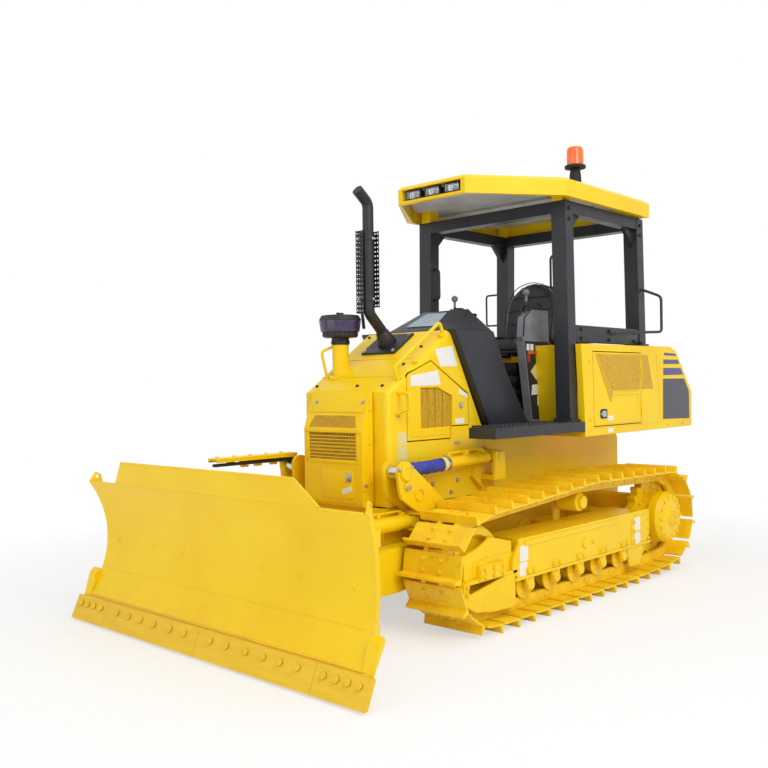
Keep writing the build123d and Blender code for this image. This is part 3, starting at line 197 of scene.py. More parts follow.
def moulded(name, colour, roughness=0.55, grain_mm=1.6):
    """Moulded ABS or rubber: matt, with a spark-eroded grain drawn a little coarse so that it shows."""
    material, tree, surface, place = blank(name)
    broad = noise(tree, place, 90, 3)
    darker = tuple(0.8 * part for part in linear(colour)[:3]) + (1.0,)
    tree.links.new(mix(tree, ramp(tree, broad, 0.35, 0.65), linear(colour), darker), surface.inputs["Base Color"])
    grain = node(tree, "ShaderNodeTexVoronoi", {"feature": "SMOOTH_F1"}, {"Vector": place, "Scale": 1000 / grain_mm})
    tree.links.new(bump(tree, grain.outputs["Distance"], 0.15, 0.5), surface.inputs["Normal"])
    tree.links.new(ramp(tree, broad, 0.3, 0.7, roughness - 0.05, roughness + 0.07), surface.inputs["Roughness"])
    return material


def seat_vinyl():
    """Grained PVC-coated cloth: dark, soft sheen, leather-like creases about 3 mm across."""
    material, tree, surface, place = blank("seat_vinyl", Roughness=0.52)
    crease = node(tree, "ShaderNodeTexVoronoi", {"feature": "DISTANCE_TO_EDGE"},
                  {"Vector": place, "Scale": 1000 / 3.2})
    broad = noise(tree, place, 120, 4)
    tree.links.new(mix(tree, ramp(tree, broad, 0.3, 0.7), linear("17181B"), linear("232428")),
                   surface.inputs["Base Color"])
    tree.links.new(bump(tree, ramp(tree, crease.outputs["Distance"], 0.0, 0.12), 0.35, 0.6), surface.inputs["Normal"])
    surface.inputs["Sheen Weight"].default_value = 0.25
    surface.inputs["Sheen Roughness"].default_value = 0.5
    return material


def chrome_rod():
    """Hard chrome, ground and polished round the rod: mirror-like with faint rings."""
    material, tree, surface, place = blank("chrome_rod", Metallic=1.0)
    rings = noise(tree, node(tree, "ShaderNodeMapping", inputs={
        "Vector": place, "Scale": (1.0, 0.05, 0.05)}).outputs[0], 1.5, 2)
    tree.links.new(mix(tree, rings, linear("C4C6C9"), linear("DDDFE1")), surface.inputs["Base Color"])
    tree.links.new(ramp(tree, rings, 0.3, 0.7, 0.10, 0.2), surface.inputs["Roughness"])
    return material


def plated_steel():
    """Zinc-plated and cleared fasteners: bright grey metal with a cloudy, slightly rough skin."""
    material, tree, surface, place = blank("plated_steel", Metallic=1.0)
    clouds = noise(tree, place, 14, 4)
    tree.links.new(mix(tree, clouds, linear("A9ACAE"), linear("C9CBCC")), surface.inputs["Base Color"])
    tree.links.new(ramp(tree, clouds, 0.3, 0.7, 0.28, 0.42), surface.inputs["Roughness"])
    return material


def boot_cloth():
    """Coated blue fabric sewn into a rod sleeve: matt, with a 2.5 mm plain weave."""
    material, tree, surface, place = blank("boot_cloth", Roughness=0.62)
    weave = node(tree, "ShaderNodeTexWave", {"wave_type": "BANDS", "bands_direction": "DIAGONAL"}, {
        "Vector": place, "Scale": 1000 / 2.5 / 6.0, "Distortion": 0.4})
    broad = noise(tree, place, 40, 4)
    tree.links.new(mix(tree, ramp(tree, broad, 0.3, 0.7), linear("2B3590"), linear("3D46A6")),
                   surface.inputs["Base Color"])
    tree.links.new(bump(tree, weave.outputs["Fac"], 0.3, 0.5), surface.inputs["Normal"])
    return material


def clear_plastic(name, colour, roughness, density, transmission=0.75, glow=0.0):
    """Injection-moulded polycarbonate: tinted, glossy, with flow waves inside."""
    material, tree, surface, place = blank(name, Roughness=roughness, IOR=1.58)
    surface.inputs["Transmission Weight"].default_value = transmission
    waves = noise(tree, place, 30, 2)
    deeper = tuple(density * part for part in linear(colour)[:3]) + (1.0,)
    tree.links.new(mix(tree, ramp(tree, waves, 0.3, 0.7), linear(colour), deeper), surface.inputs["Base Color"])
    tree.links.new(bump(tree, waves, 0.4, 0.3), surface.inputs["Normal"])
    if glow:
        surface.inputs["Emission Color"].default_value = linear(colour)
        surface.inputs["Emission Strength"].default_value = glow
    return material


def lamp_reflector():
    """Vacuum-metallised reflector behind a fluted lens."""
    material, tree, surface, place = blank("lamp_reflector", Metallic=0.85, Roughness=0.18)
    flutes = node(tree, "ShaderNodeTexWave", {"wave_type": "BANDS", "bands_direction": "Y"}, {
        "Vector": place, "Scale": 1000 / 9 / 6.0})
    tree.links.new(mix(tree, flutes.outputs["Fac"], linear("E9EDF0"), linear("BFC5CA")), surface.inputs["Base Color"])
    tree.links.new(bump(tree, flutes.outputs["Fac"], 1.0, 0.6), surface.inputs["Normal"])
    return material


def vinyl_film(name, colour):
    """Printed self-adhesive film: smooth, slightly glossier than the paint."""
    material, tree, surface, place = blank(name)
    broad = noise(tree, place, 50, 3)
    paler = tuple(min(1.0, 0.9 * part + 0.03) for part in linear(colour)[:3]) + (1.0,)
    tree.links.new(mix(tree, ramp(tree, broad, 0.35, 0.65), linear(colour), paler), surface.inputs["Base Color"])
    tree.links.new(ramp(tree, broad, 0.3, 0.7, 0.28, 0.4), surface.inputs["Roughness"])
    tree.links.new(bump(tree, broad, 0.2, 0.2), surface.inputs["Normal"])
    return material


def seen_rays(tree):
    """1 for the rays that show a surface: straight, mirrored or through something clear."""
    path = node(tree, "ShaderNodeLightPath").outputs
    return math(tree, "MAXIMUM", path["Is Camera Ray"],
                math(tree, "MAXIMUM", path["Is Glossy Ray"], path["Is Transmission Ray"]))


def floor_paper():
    """Seamless pale paper: matt, with a faint tooth, lit up away from the machine so that no horizon shows."""
    material, tree, surface, place = blank("floor_paper", Roughness=0.9)
    tooth = noise(tree, place, 12, 3)
    tree.links.new(mix(tree, ramp(tree, tooth, 0.3, 0.7), linear("F6F6F5"), linear("FAFAF9")),
                   surface.inputs["Base Color"])
    surface.inputs["Specular IOR Level"].default_value = 0.1
    away = node(tree, "ShaderNodeVectorMath", {"operation": "LENGTH"}, {0: place}).outputs["Value"]
    share = math(tree, "MULTIPLY", seen_rays(tree), ramp(tree, away, 2.4, 4.4, 0.55, 1.0))
    glow = node(tree, "ShaderNodeEmission", inputs={"Color": (1.0, 1.0, 1.0, 1.0), "Strength": 1.0}).outputs[0]
    both = node(tree, "ShaderNodeMixShader", inputs={0: share, 1: surface.outputs[0], 2: glow}).outputs[0]
    tree.links.new(both, tree.nodes["Material Output"].inputs["Surface"])
    return material


MATERIALS = {}


def finish_of(name):
    """The material of that name, made when it is first wanted."""
    makers = {
        "yellow": yellow_enamel, "track": track_enamel, "edge": edge_enamel, "grille": grille_enamel,
        "charcoal": lambda: satin_paint("charcoal_powder_coat", "26282F", 0.45),
        "black": lambda: satin_paint("black_heat_paint", "1D1D20", 0.5),
        "cast": lambda: satin_paint("grey_casting", "4B4C4E", 0.6, 5.0),
        "grey_plastic": lambda: moulded("grey_abs", "85868E"),
        "black_plastic": lambda: moulded("black_abs", "222226"),
        "rubber": lambda: moulded("black_rubber", "1B1B1C", 0.7, 2.4),
        "vinyl": seat_vinyl, "chrome": chrome_rod, "boot": boot_cloth,
        "amber": lambda: clear_plastic("amber_polycarbonate", "FF7A0A", 0.12, 0.8, 0.35, 0.12),
        "bowl": lambda: clear_plastic("violet_polycarbonate", "4A3A66", 0.14, 0.6, 0.25),
        "lens": lambda: clear_plastic("clear_polycarbonate", "F2F6F8", 0.05, 0.95, 0.9),
        "reflector": lamp_reflector,
        "steel": plated_steel, "liner": lambda: satin_paint("ceiling_enamel", "D9DADB", 0.6, 4.0),
        "blue_grey": lambda: satin_paint("blue_grey_paint", "AEBBC6", 0.5),
        "orange_plastic": lambda: moulded("orange_nylon", "D9641A"),
        "white_film": lambda: vinyl_film("white_film", "EFEFEA"),
        "pale_film": lambda: vinyl_film("pale_film", "E8DC8A"),
        "red_film": lambda: vinyl_film("red_film", "A8322C"),
        "stripe_film": lambda: vinyl_film("stripe_film", "4B4580"),
        "dark_film": lambda: vinyl_film("dark_film", "3A3844"),
    }
    if name not in MATERIALS:
        MATERIALS[name] = makers[name]()
    return MATERIALS[name]


# ---------------------------------------------------------------- modelling helpers

def let_go():
    """Leave edit mode and select nothing."""
    if bpy.context.object and bpy.context.object.mode != "OBJECT":
        bpy.ops.object.mode_set(mode="OBJECT")
    bpy.ops.object.select_all(action="DESELECT")


def edit(piece, mode="FACE"):
    """Open one piece in edit mode with nothing selected."""
    let_go()
    bpy.context.view_layer.objects.active = piece
    piece.select_set(True)
    bpy.ops.object.mode_set(mode="EDIT")
    bpy.ops.mesh.select_mode(type=mode)
    bpy.ops.mesh.select_all(action="DESELECT")


def pick(piece, test):
    """Select the faces of the piece in edit mode whose middle and normal pass a test."""
    bpy.ops.object.mode_set(mode="OBJECT")
    for face in piece.data.polygons:
        face.select = bool(test(face.center, face.normal))
    bpy.ops.object.mode_set(mode="EDIT")


def box(name, low, high, bevel_mm=4.0, segments=2):
    """A plate or box between two corners in millimetres, with rolled edges."""
    let_go()
    low, high = Vector(low) * MM, Vector(high) * MM
    bpy.ops.mesh.primitive_cube_add(size=1.0, location=(low + high) / 2, scale=high - low)
    piece = bpy.context.object
    piece.name = name
    settle(piece)
    if bevel_mm:
        edit(piece, "EDGE")
        bpy.ops.mesh.select_all(action="SELECT")
        bpy.ops.mesh.bevel(offset=bevel_mm * MM, segments=segments, affect="EDGES", profile=0.6)
        let_go()
    return piece


def drum(name, start, end, radius_mm, sides=32, bevel_mm=2.0, radius_end=None):
    """A round bar or cone from one point to another in millimetres, with rolled rims."""
    let_go()
    start, end = Vector(start) * MM, Vector(end) * MM
    along = end - start
    bpy.ops.mesh.primitive_cone_add(
        vertices=sides, radius1=radius_mm * MM, radius2=(radius_mm if radius_end is None else radius_end) * MM,
        depth=along.length, location=(start + end) / 2,
        rotation=along.to_track_quat("Z", "Y").to_euler())
    piece = bpy.context.object
    piece.name = name
    direction = along.normalized()
    settle(piece)
    if bevel_mm:
        edit(piece)
        pick(piece, lambda centre, normal: abs(normal.dot(direction)) > 0.99)
        bpy.ops.mesh.bevel(offset=bevel_mm * MM, segments=2, affect="EDGES")
        let_go()
    return piece


def line_of(name, points):
    """A chain of edges through points in millimetres, drawn by extruding one vertex."""
    let_go()
    bpy.ops.mesh.primitive_plane_add(size=0.001, location=Vector(points[0]) * MM)
    piece = bpy.context.object
    piece.name = name
    bpy.ops.object.transform_apply(location=True, rotation=True, scale=True)
    bpy.ops.object.mode_set(mode="EDIT")
    bpy.ops.mesh.select_mode(type="VERT")
    bpy.ops.mesh.select_all(action="SELECT")
    bpy.ops.mesh.merge(type="CENTER")
    for before, after in zip(points, points[1:]):
        step = (Vector(after) - Vector(before)) * MM
        bpy.ops.mesh.extrude_region_move(TRANSFORM_OT_translate={"value": step})
    return piece


def panel(name, points, depth, bevel_mm=2.0, segments=2):
    """A flat outline in millimetres, thickened by a depth vector, with rolled edges."""
    piece = line_of(name, points)
    bpy.ops.mesh.select_all(action="SELECT")
    bpy.ops.mesh.edge_face_add()
    bpy.ops.mesh.extrude_region_move(TRANSFORM_OT_translate={"value": Vector(depth) * MM})
    bpy.ops.mesh.select_all(action="SELECT")
    bpy.ops.mesh.normals_make_consistent(inside=False)
    if bevel_mm:
        bpy.ops.mesh.bevel(offset=bevel_mm * MM, segments=segments, affect="EDGES", profile=0.6, clamp_overlap=True)
    let_go()
    settle(piece)
    return piece


def turned(name, profile, centre, axis="Z", sides=48):
    """A shape spun from (radius, offset) pairs about an axis through a centre, in millimetres."""
    turn = {"Z": lambda r, o: (r, 0, o), "Y": lambda r, o: (r, o, 0), "X": lambda r, o: (o, 0, r)}[axis]
    line = {"Z": (0, 0, 1), "Y": (0, 1, 0), "X": (1, 0, 0)}[axis]
    middle = Vector(centre)
    piece = line_of(name, [middle + Vector(turn(r, o)) for r, o in profile])
    bpy.ops.mesh.select_all(action="SELECT")
    bpy.ops.mesh.spin(steps=sides, angle=2 * pi, center=middle * MM, axis=line)
    bpy.ops.mesh.select_all(action="SELECT")
    bpy.ops.mesh.remove_doubles(threshold=0.00002)
    bpy.ops.mesh.normals_make_consistent(inside=False)
    let_go()
    settle(piece)
    return piece


def tube(name, points, radius_mm, bend_mm=40.0, sides=12):
    """A bent round bar through corner points in millimetres."""
    let_go()
    bpy.ops.curve.primitive_bezier_curve_add()
    piece = bpy.context.object
    piece.name = name
    piece.location = (0, 0, 0)
    curve = piece.data
    curve.splines.clear()
    path = []
    corners = [Vector(point) * MM for point in points]
    path.append(corners[0])
    for before, corner, after in zip(corners, corners[1:], corners[2:]):
        bend = bend_mm * MM
        for share in range(5):
            t = share / 4
            first = corner + (before - corner).normalized() * bend
            last = corner + (after - corner).normalized() * bend
            path.append(first * (1 - t) ** 2 + corner * 2 * t * (1 - t) + last * t ** 2)
    path.append(corners[-1])
    spline = curve.splines.new("POLY")
    spline.points.add(len(path) - 1)
    for point, place in zip(spline.points, path):
        point.co = (*place, 1.0)
    curve.dimensions = "3D"
    curve.bevel_depth = radius_mm * MM
    curve.bevel_resolution = sides // 4
    curve.use_fill_caps = True
    let_go()
    piece.select_set(True)
    bpy.context.view_layer.objects.active = piece
    bpy.ops.object.convert(target="MESH")
    piece = bpy.context.object
    settle(piece)
    return piece


def settle(piece):
    """Put a piece's place into its mesh."""
    let_go()
    piece.select_set(True)
    bpy.context.view_layer.objects.active = piece
    bpy.ops.object.transform_apply(location=True, rotation=True, scale=True)


def copy_of(piece, name, move=(0, 0, 0), matrix=None):
    """A copy with its own mesh, moved in millimetres or by a matrix."""
    other = piece.copy()
    other.data = piece.data.copy()
    other.name = name
    bpy.context.scene.collection.objects.link(other)
    other.data.transform(matrix if matrix is not None else Matrix.Translation(Vector(move) * MM))
    return other


def joined(name, pieces):
    """One object from several."""
    let_go()
    for piece in pieces:
        piece.select_set(True)
    bpy.context.view_layer.objects.active = pieces[0]
    if len(pieces) > 1:
        bpy.ops.object.join()
    piece = bpy.context.object
    piece.name = name
    return piece


def mirrored(piece, name):
    """The piece's twin on the machine's other side."""
    other = copy_of(piece, name, matrix=Matrix.Scale(-1, 4, (0, 1, 0)))
    edit(other)
    bpy.ops.mesh.select_all(action="SELECT")
    bpy.ops.mesh.flip_normals()
    let_go()
    return other


def dress(piece, finish, body="root", angle=35):
    """Give a finished piece its material, smooth shading and the body it rides on."""
    let_go()
    piece.select_set(True)
    bpy.context.view_layer.objects.active = piece
    bpy.ops.object.shade_smooth_by_angle(angle=radians(angle))
    piece.data.materials.clear()
    piece.data.materials.append(finish_of(finish))
    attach(piece, body)
    return piece


def hex_bolt(name, across_mm, height_mm):
    """A hexagon bolt head on its washer, at the origin, facing +Z."""
    head = drum(name, (0, 0, 1.5), (0, 0, height_mm), across_mm / 2, 6, 0)
    edit(head)
    pick(head, lambda centre, normal: normal.z > 0.9)
    bpy.ops.mesh.inset(thickness=0.12 * across_mm * MM)
    bpy.ops.transform.translate(value=(0, 0, 0.08 * across_mm * MM))
    let_go()
    washer = drum(name, (0, 0, -0.5), (0, 0, 2.0), across_mm * 0.62, 12, 0)
    return joined(name, [head, washer])


def facing(place, normal):
    """Matrix that puts a +Z piece at a place in millimetres, facing a direction."""
    turn = Vector(normal).to_track_quat("Z", "Y").to_matrix().to_4x4()
    return Matrix.Translation(Vector(place) * MM) @ turn


def bolt_rows(name, places, across_mm, height_mm, finish, body="root"):
    """Bolts at places with normals, as one piece."""
    first = hex_bolt(name, across_mm, height_mm)
    copies = [copy_of(first, name, matrix=facing(place, normal)) for place, normal in places]
    bpy.data.objects.remove(first)
    return dress(joined(name, copies), finish, body, 30)


# ---------------------------------------------------------------- operators

class Sizes(bpy.types.PropertyGroup):
    """Sizes of the dressing that a user may change."""

    bolt: bpy.props.FloatProperty(
        name="Bolt head", description="Width of the shoe bolts' heads", default=0.022, unit="LENGTH")
    mesh_pitch: bpy.props.FloatProperty(
        name="Guard pitch", description="Distance between holes in the exhaust guard", default=0.022, unit="LENGTH")
    lamp_depth: bpy.props.FloatProperty(
        name="Lamp depth", description="Depth of the lamps' reflectors", default=0.03, unit="LENGTH")


class Colours(bpy.types.PropertyGroup):
    """Colours of the stage that a user may change."""

    backdrop: bpy.props.FloatVectorProperty(
        name="Backdrop", description="Colour behind the machine", subtype="COLOR", size=4,
        default=linear("FFFFFF"), min=0.0, max=1.0)


CAMERA_PLACE = (4.742, 3.815, 1.354)
CAMERA_YAW, CAMERA_PITCH, CAMERA_ROLL = 222.273, -0.244, -0.775
LAMPS = (
    ("key_softbox", (3.0, 7.5, 6.5), 5.0, 400.0),
    ("fill_softbox", (7.5, -1.0, 3.0), 5.0, 75.0),
    ("top_softbox", (-1.0, 1.0, 8.0), 6.0, 115.0))


class DOZER_OT_stage(bpy.types.Operator):
    """Pale floor, soft lamps and the camera at the photograph's angle"""

    bl_idname = "dozer.stage"
    bl_label = "Stage"

    def execute(self, context):
        let_go()
        bpy.ops.mesh.primitive_plane_add(size=60.0, location=(0, 0, -0.001))
        floor = context.object
        floor.name = "floor"
        settle(floor)
        floor.data.materials.append(floor_paper())

        world = context.scene.world or bpy.data.worlds.new("studio")
        context.scene.world = world
        world.use_nodes = True
        tree = world.node_tree
        tree.nodes.clear()
        lit = node(tree, "ShaderNodeBackground", inputs={"Color": (1.0, 1.0, 1.0, 1.0), "Strength": 0.55})
        shown = node(tree, "ShaderNodeBackground", inputs={
            "Color": tuple(context.scene.dozer_colours.backdrop), "Strength": 1.0})
        both = node(tree, "ShaderNodeMixShader", inputs={
            0: seen_rays(tree), 1: lit.outputs[0], 2: shown.outputs[0]})
        node(tree, "ShaderNodeOutputWorld", inputs={"Surface": both.outputs[0]})

        for name, place, size, power in LAMPS:
            bpy.ops.object.light_add(type="AREA", location=place)
            lamp = context.object
            lamp.name = name
            lamp.data.size = size
            lamp.data.energy = power
            lamp.rotation_euler = (Vector((0, 0, 0.9)) - Vector(place)).to_track_quat("-Z", "Y").to_euler()

        yaw, pitch, roll = radians(CAMERA_YAW), radians(CAMERA_PITCH), radians(CAMERA_ROLL)
        ahead = Vector((cos(yaw) * cos(pitch), sin(yaw) * cos(pitch), sin(pitch)))
        right = ahead.cross(Vector((0, 0, 1))).normalized()
        up = right.cross(ahead)
        right, up = right * cos(roll) + up * sin(roll), up * cos(roll) - right * sin(roll)
        bpy.ops.object.camera_add(location=CAMERA_PLACE)
        camera = context.object
        camera.name = "photo_camera"
        camera.matrix_world = Matrix((
            *(row for row in zip(right, up, -ahead, CAMERA_PLACE)), (0, 0, 0, 1)))
        camera.data.sensor_width = 36.0
        camera.data.lens = 42.31
        camera.data.shift_x = -0.0212
        camera.data.shift_y = 0.0064
        camera.data.clip_end = 200.0
        context.scene.camera = camera
        context.scene.view_settings.view_transform = "Standard"
        return {"FINISHED"}


FINISHES = {
    "yellow": [
        "main_frame", "hood", "rear_body", "handrails", "track_frames", "final_drives", "idlers", "track_rollers",
        "c_frame", "hose_guard", "blade_carrier", "blade", "tilt_barrel", "front_mask", "lift_barrel_left",
        "lift_barrel_right", "angle_barrel_left", "angle_barrel_right", "engine_door_left", "engine_door_right",
        "locker_door_left", "locker_door_right", "roof_canopy"],
    "track": ["track_left", "track_right"],
    "edge": ["cutting_edge"],
    "charcoal": ["rops_frame", "cowl", "floor_deck"],
    "black": ["exhaust_stack", "radiator"],
    "cast": ["engine_block"],
    "grey_plastic": ["consoles"],
    "black_plastic": ["precleaner"],
    "vinyl": ["seat"],
    "chrome": ["tilt_rod", "lift_rod_left", "lift_rod_right", "angle_rod_left", "angle_rod_right"],
    "boot": ["lift_boot_left", "lift_boot_right"],
    "amber": ["beacon"],
    "lens": ["roof_lamps"],
}


class DOZER_OT_paint(bpy.types.Operator):
    """Give every carried-over CAD node the finish of the real piece"""

    bl_idname = "dozer.paint"
    bl_label = "Paint the frame"

    def execute(self, context):
        left = set(nodes)
        for finish, names in FINISHES.items():
            for name in names:
                nodes[name].data.materials.clear()
                nodes[name].data.materials.append(finish_of(finish))
                left.discard(name)
        if left:
            raise RuntimeError(f"nodes without a finish: {sorted(left)}")
        return {"FINISHED"}


# ---------------------------------------------------------------- shapes that repeat on this machine

def lay(name, outline, y, thick, bevel_mm=0.8):
    """A plate from an (x, z) outline on a side of the machine, standing out from |y| by thick."""
    way = 1 if y > 0 else -1
    return panel(name, [(x, y, z) for x, z in outline], (0, way * thick, 0), bevel_mm, 1)


def side_box(name, way, low, high, *bevels):
    """A box on one side of the machine, between two distances from its middle."""
    near, far = sorted((way * low[1], way * high[1]))
    return box(name, (low[0], near, low[2]), (high[0], far, high[2]), *bevels)


def side_places(y, spots):
    """Bolt places facing out from the machine's left side, at (x, z) spots."""
    return [((x, y, z), (0, 1, 0)) for x, z in spots]


def rectangle(x0, x1, z0, z1, corner=0.0):
    """Outline of a rectangle, with cut corners if asked."""
    if not corner:
        return [(x0, z0), (x1, z0), (x1, z1), (x0, z1)]
    c, d = corner, corner * 0.3
    return [(x0 + c, z0), (x1 - c, z0), (x1 - d, z0 + d), (x1, z0 + c), (x1, z1 - c), (x1 - d, z1 - d),
            (x1 - c, z1), (x0 + c, z1), (x0 + d, z1 - d), (x0, z1 - c), (x0, z0 + c), (x0 + d, z0 + d)]


def cut(piece, tool):
    """Take one solid out of another and throw the tool away."""
    let_go()
    bpy.context.view_layer.objects.active = piece
    piece.select_set(True)
    carve = piece.modifiers.new("carve", "BOOLEAN")
    carve.operation, carve.object, carve.solver = "DIFFERENCE", tool, "EXACT"
    bpy.ops.object.modifier_apply(modifier=carve.name)
    bpy.data.objects.remove(tool)
    return piece


def pair(name, pieces):
    """The joined pieces and their twin on the other side, as one."""
    first = joined(name, pieces)
    return joined(name, [first, mirrored(first, name)])


def both_bolts(places):
    """Bolt places of the left side and their twins on the right."""
    return places + [((x, -y, z), (nx, -ny, nz)) for (x, y, z), (nx, ny, nz) in places]


HOOD_SIDE, BODY_SIDE = 352, 700
SLOPE_FOOT_X, SLOPE_FOOT_Z = 1020, 1327
SLOPE_RUN, SLOPE_RISE = 535, 359


def slope_normal():
    """Direction square to the hood's sloping top."""
    return Vector((SLOPE_RISE, 0, SLOPE_RUN)).normalized()


def on_slope(x, y, lift=0.0):
    """Point on the hood's sloping top, lifted off it."""
    normal = slope_normal()
    height = SLOPE_FOOT_Z + (SLOPE_FOOT_X - x) * SLOPE_RISE / SLOPE_RUN
    return x + lift * normal.x, y, height + lift * normal.z


def perforated(name, wide, tall, hole_mm, cell_x, cell_y, sheet_mm):
    """A sheet full of round holes, from its corner along +X and +Y, made of repeated cells."""
    let_go()
    bpy.ops.mesh.primitive_circle_add(vertices=8, radius=hole_mm / 2 * MM)
    cell = bpy.context.object
    settle(cell)
    edit(cell, "EDGE")
    bpy.ops.mesh.select_all(action="SELECT")
    bpy.ops.mesh.extrude_edges_move()
    let_go()
    half, radius = Vector((cell_x / 2, cell_y / 2)) * MM, hole_mm / 2 * MM
    for vertex in cell.data.vertices:
        if vertex.select:
            # the extruded rim goes out to the cell's edge, its diagonal points to the corners
            vertex.co.x, vertex.co.y = (half[n] * round(vertex.co[n] / radius * 1.2) for n in (0, 1))
    columns, rows = max(1, round(wide / cell_x)), max(1, round(tall / cell_y))
    cells = [copy_of(cell, name, ((i + 0.5) * cell_x, (j + 0.5) * cell_y, 0))
             for i in range(columns) for j in range(rows)]
    bpy.data.objects.remove(cell)
    sheet = joined(name, cells)
    edit(sheet)
    bpy.ops.mesh.select_all(action="SELECT")
    bpy.ops.mesh.remove_doubles(threshold=0.0001)
    bpy.ops.mesh.normals_make_consistent(inside=False)
    let_go()
    sheet.data.transform(Matrix.Diagonal((wide / (columns * cell_x), tall / (rows * cell_y), 1, 1)))
    apply_on(sheet, "SOLIDIFY", thickness=sheet_mm * MM, offset=0.0)
    return sheet


def placed(piece, matrix):
    """The piece moved by a matrix, with its place in its mesh."""
    piece.data.transform(matrix)
    return piece


def apply_on(piece, kind, **settings):
    """Add a modifier with its settings and apply it."""
    let_go()
    bpy.context.view_layer.objects.active = piece
    piece.select_set(True)
    added = piece.modifiers.new(kind.lower(), kind)
    for key, value in settings.items():
        setattr(added, key, value)
    bpy.ops.object.modifier_apply(modifier=added.name)


def plump(piece, cap_mm, voxel_mm=6.0, pressure=4.0):
    """Fill a closed cover by cloth pressure, no point moving further than the cap."""
    apply_on(piece, "REMESH", mode="VOXEL", voxel_size=voxel_mm * MM)
    before = [vertex.co.copy() for vertex in piece.data.vertices]
    let_go()
    bpy.context.view_layer.objects.active = piece
    piece.select_set(True)
    cloth = piece.modifiers.new("filling", "CLOTH")
    cloth.settings.use_pressure = True
    cloth.settings.uniform_pressure_force = pressure
    cloth.settings.effector_weights.gravity = 0.0
    cloth.collision_settings.use_collision = False
    for number in range(1, 21):
        bpy.context.scene.frame_set(number)
    bpy.ops.object.modifier_apply(modifier=cloth.name)
    bpy.context.scene.frame_set(1)
    for vertex, start in zip(piece.data.vertices, before):
        move = vertex.co - start
        if move.length > cap_mm * MM:
            vertex.co = start + move.normalized() * cap_mm * MM
    apply_on(piece, "SMOOTH", factor=0.5, iterations=4)
    return piece


# ---------------------------------------------------------------- running gear

TRACK_Y = 725.0
LINK_PITCH, LINKS = 154.0, 39
SPROCKET_PITCH_RADIUS = LINK_PITCH / (2 * sin(pi / 11.5))
WHEELS = ((822.16, 350.0, 268.0), (-261.0, 597.0, 96.0), (-1310.0, 388.0, SPROCKET_PITCH_RADIUS),
          (-721.0, 190.0, 108.0))


def track_pins():
    """Places of the track's pins round its wheels, as (x, z) in millimetres."""
    leaves = []
    for number, (x, z, radius) in enumerate(WHEELS):
        next_x, next_z, next_radius = WHEELS[(number + 1) % len(WHEELS)]
        span = hypot(next_x - x, next_z - z)
        leaves.append(atan2(next_z - z, next_x - x) - pi / 2 + asin((radius - next_radius) / span))
    runs = []
    for number, (x, z, radius) in enumerate(WHEELS):
        begin, leave = leaves[number - 1], leaves[number]
        runs.append((radius * ((leave - begin) % (2 * pi)), Vector((x, z)), radius, begin, None))
        next_x, next_z, next_radius = WHEELS[(number + 1) % len(WHEELS)]
        outward = Vector((cos(leave), sin(leave)))
        start, end = Vector((x, z)) + radius * outward, Vector((next_x, next_z)) + next_radius * outward
        runs.append(((end - start).length, start, 0.0, 0.0, (end - start).normalized()))
    total = sum(run[0] for run in runs)
    first = runs[0][0] + runs[1][0] + runs[2][0] / 2
    pins = []
    for number in range(LINKS):
        distance = (first + total * number / LINKS) % total
        for length, start, radius, begin, along in runs:
            if distance < length:
                turned_by = begin + distance / radius if radius else 0.0
                place = start + (along * distance if along else radius * Vector((cos(turned_by), sin(turned_by))))
                pins.append((place.x, place.y))
                break
            distance -= length
    return pins


def link_places(side):
    """Matrices that carry a piece from the link's own frame to each link of one track."""
    pins = track_pins()
    places = []
    for number, (x, z) in enumerate(pins):
        next_x, next_z = pins[(number + 1) % LINKS]
        turn = atan2(next_z - z, next_x - x)
        places.append(Matrix((
            (cos(turn), 0, sin(turn), (x + next_x) / 2 * MM), (0, -1, 0, side * TRACK_Y * MM),
            (sin(turn), 0, -cos(turn), (z + next_z) / 2 * MM), (0, 0, 0, 1))))
    return places


class DOZER_OT_tracks(bpy.types.Operator):
    """Shoe bolts, link bosses, rails and bushings of both tracks"""

    bl_idname = "dozer.tracks"
    bl_label = "Track chains"

    def execute(self, context):
        size = context.scene.dozer_sizes.bolt / MM
        shoe_bolt = hex_bolt("shoe_bolt", size, 13)
        bolts = [copy_of(shoe_bolt, "shoe_bolt", (s, y, 39.5)) for s in (-24, 36) for y in (-58, 58)]
        bpy.data.objects.remove(shoe_bolt)
        half, reach = LINK_PITCH / 2, 71
        chain = []
        for side in (-1, 1):
            chain += [
                drum("pin_boss", (-half, side * reach, 0), (-half, side * (reach + 3.6), 0), 31, 20, 1.2),
                drum("pin_end", (-half, side * reach, 0), (-half, side * (reach + 6), 0), 15, 14, 1.2),
                side_box("rail_top", side, (-half + 16, reach, 15), (half - 16, reach + 3, 30), 1.5, 1),
                side_box("rail_tread", side, (-half + 20, reach, -34), (half - 20, reach + 2, -21), 1.0, 1),
                box("shoe_rib", (-74, side * 150 - 42, 38), (-60, side * 150 + 42, 44), 1.5, 1),
            ]
        chain.append(drum("bushing", (-half, -46, 0), (-half, 46, 0), 20, 16, 0))
        chain.append(box("shoe_heel", (52, -196, 33), (73, 196, 37.5), 1.5, 1))
        link = joined("link_detail", bolts + chain)
        for side, label in ((1, "left"), (-1, "right")):
            copies = [copy_of(link, "chain_" + label, matrix=place) for place in link_places(side)]
            dress(joined("chain_" + label, copies), "track", "root", 30)
        bpy.data.objects.remove(link)
        return {"FINISHED"}


def ring_places(x, y, z, radius, count, side=1, turn=0.0):
    """Bolt places round a wheel's axis, facing outwards from the machine."""
    return [((x + radius * cos(turn + 2 * pi * n / count), y, z + radius * sin(turn + 2 * pi * n / count)),
             (0, side, 0)) for n in range(count)]


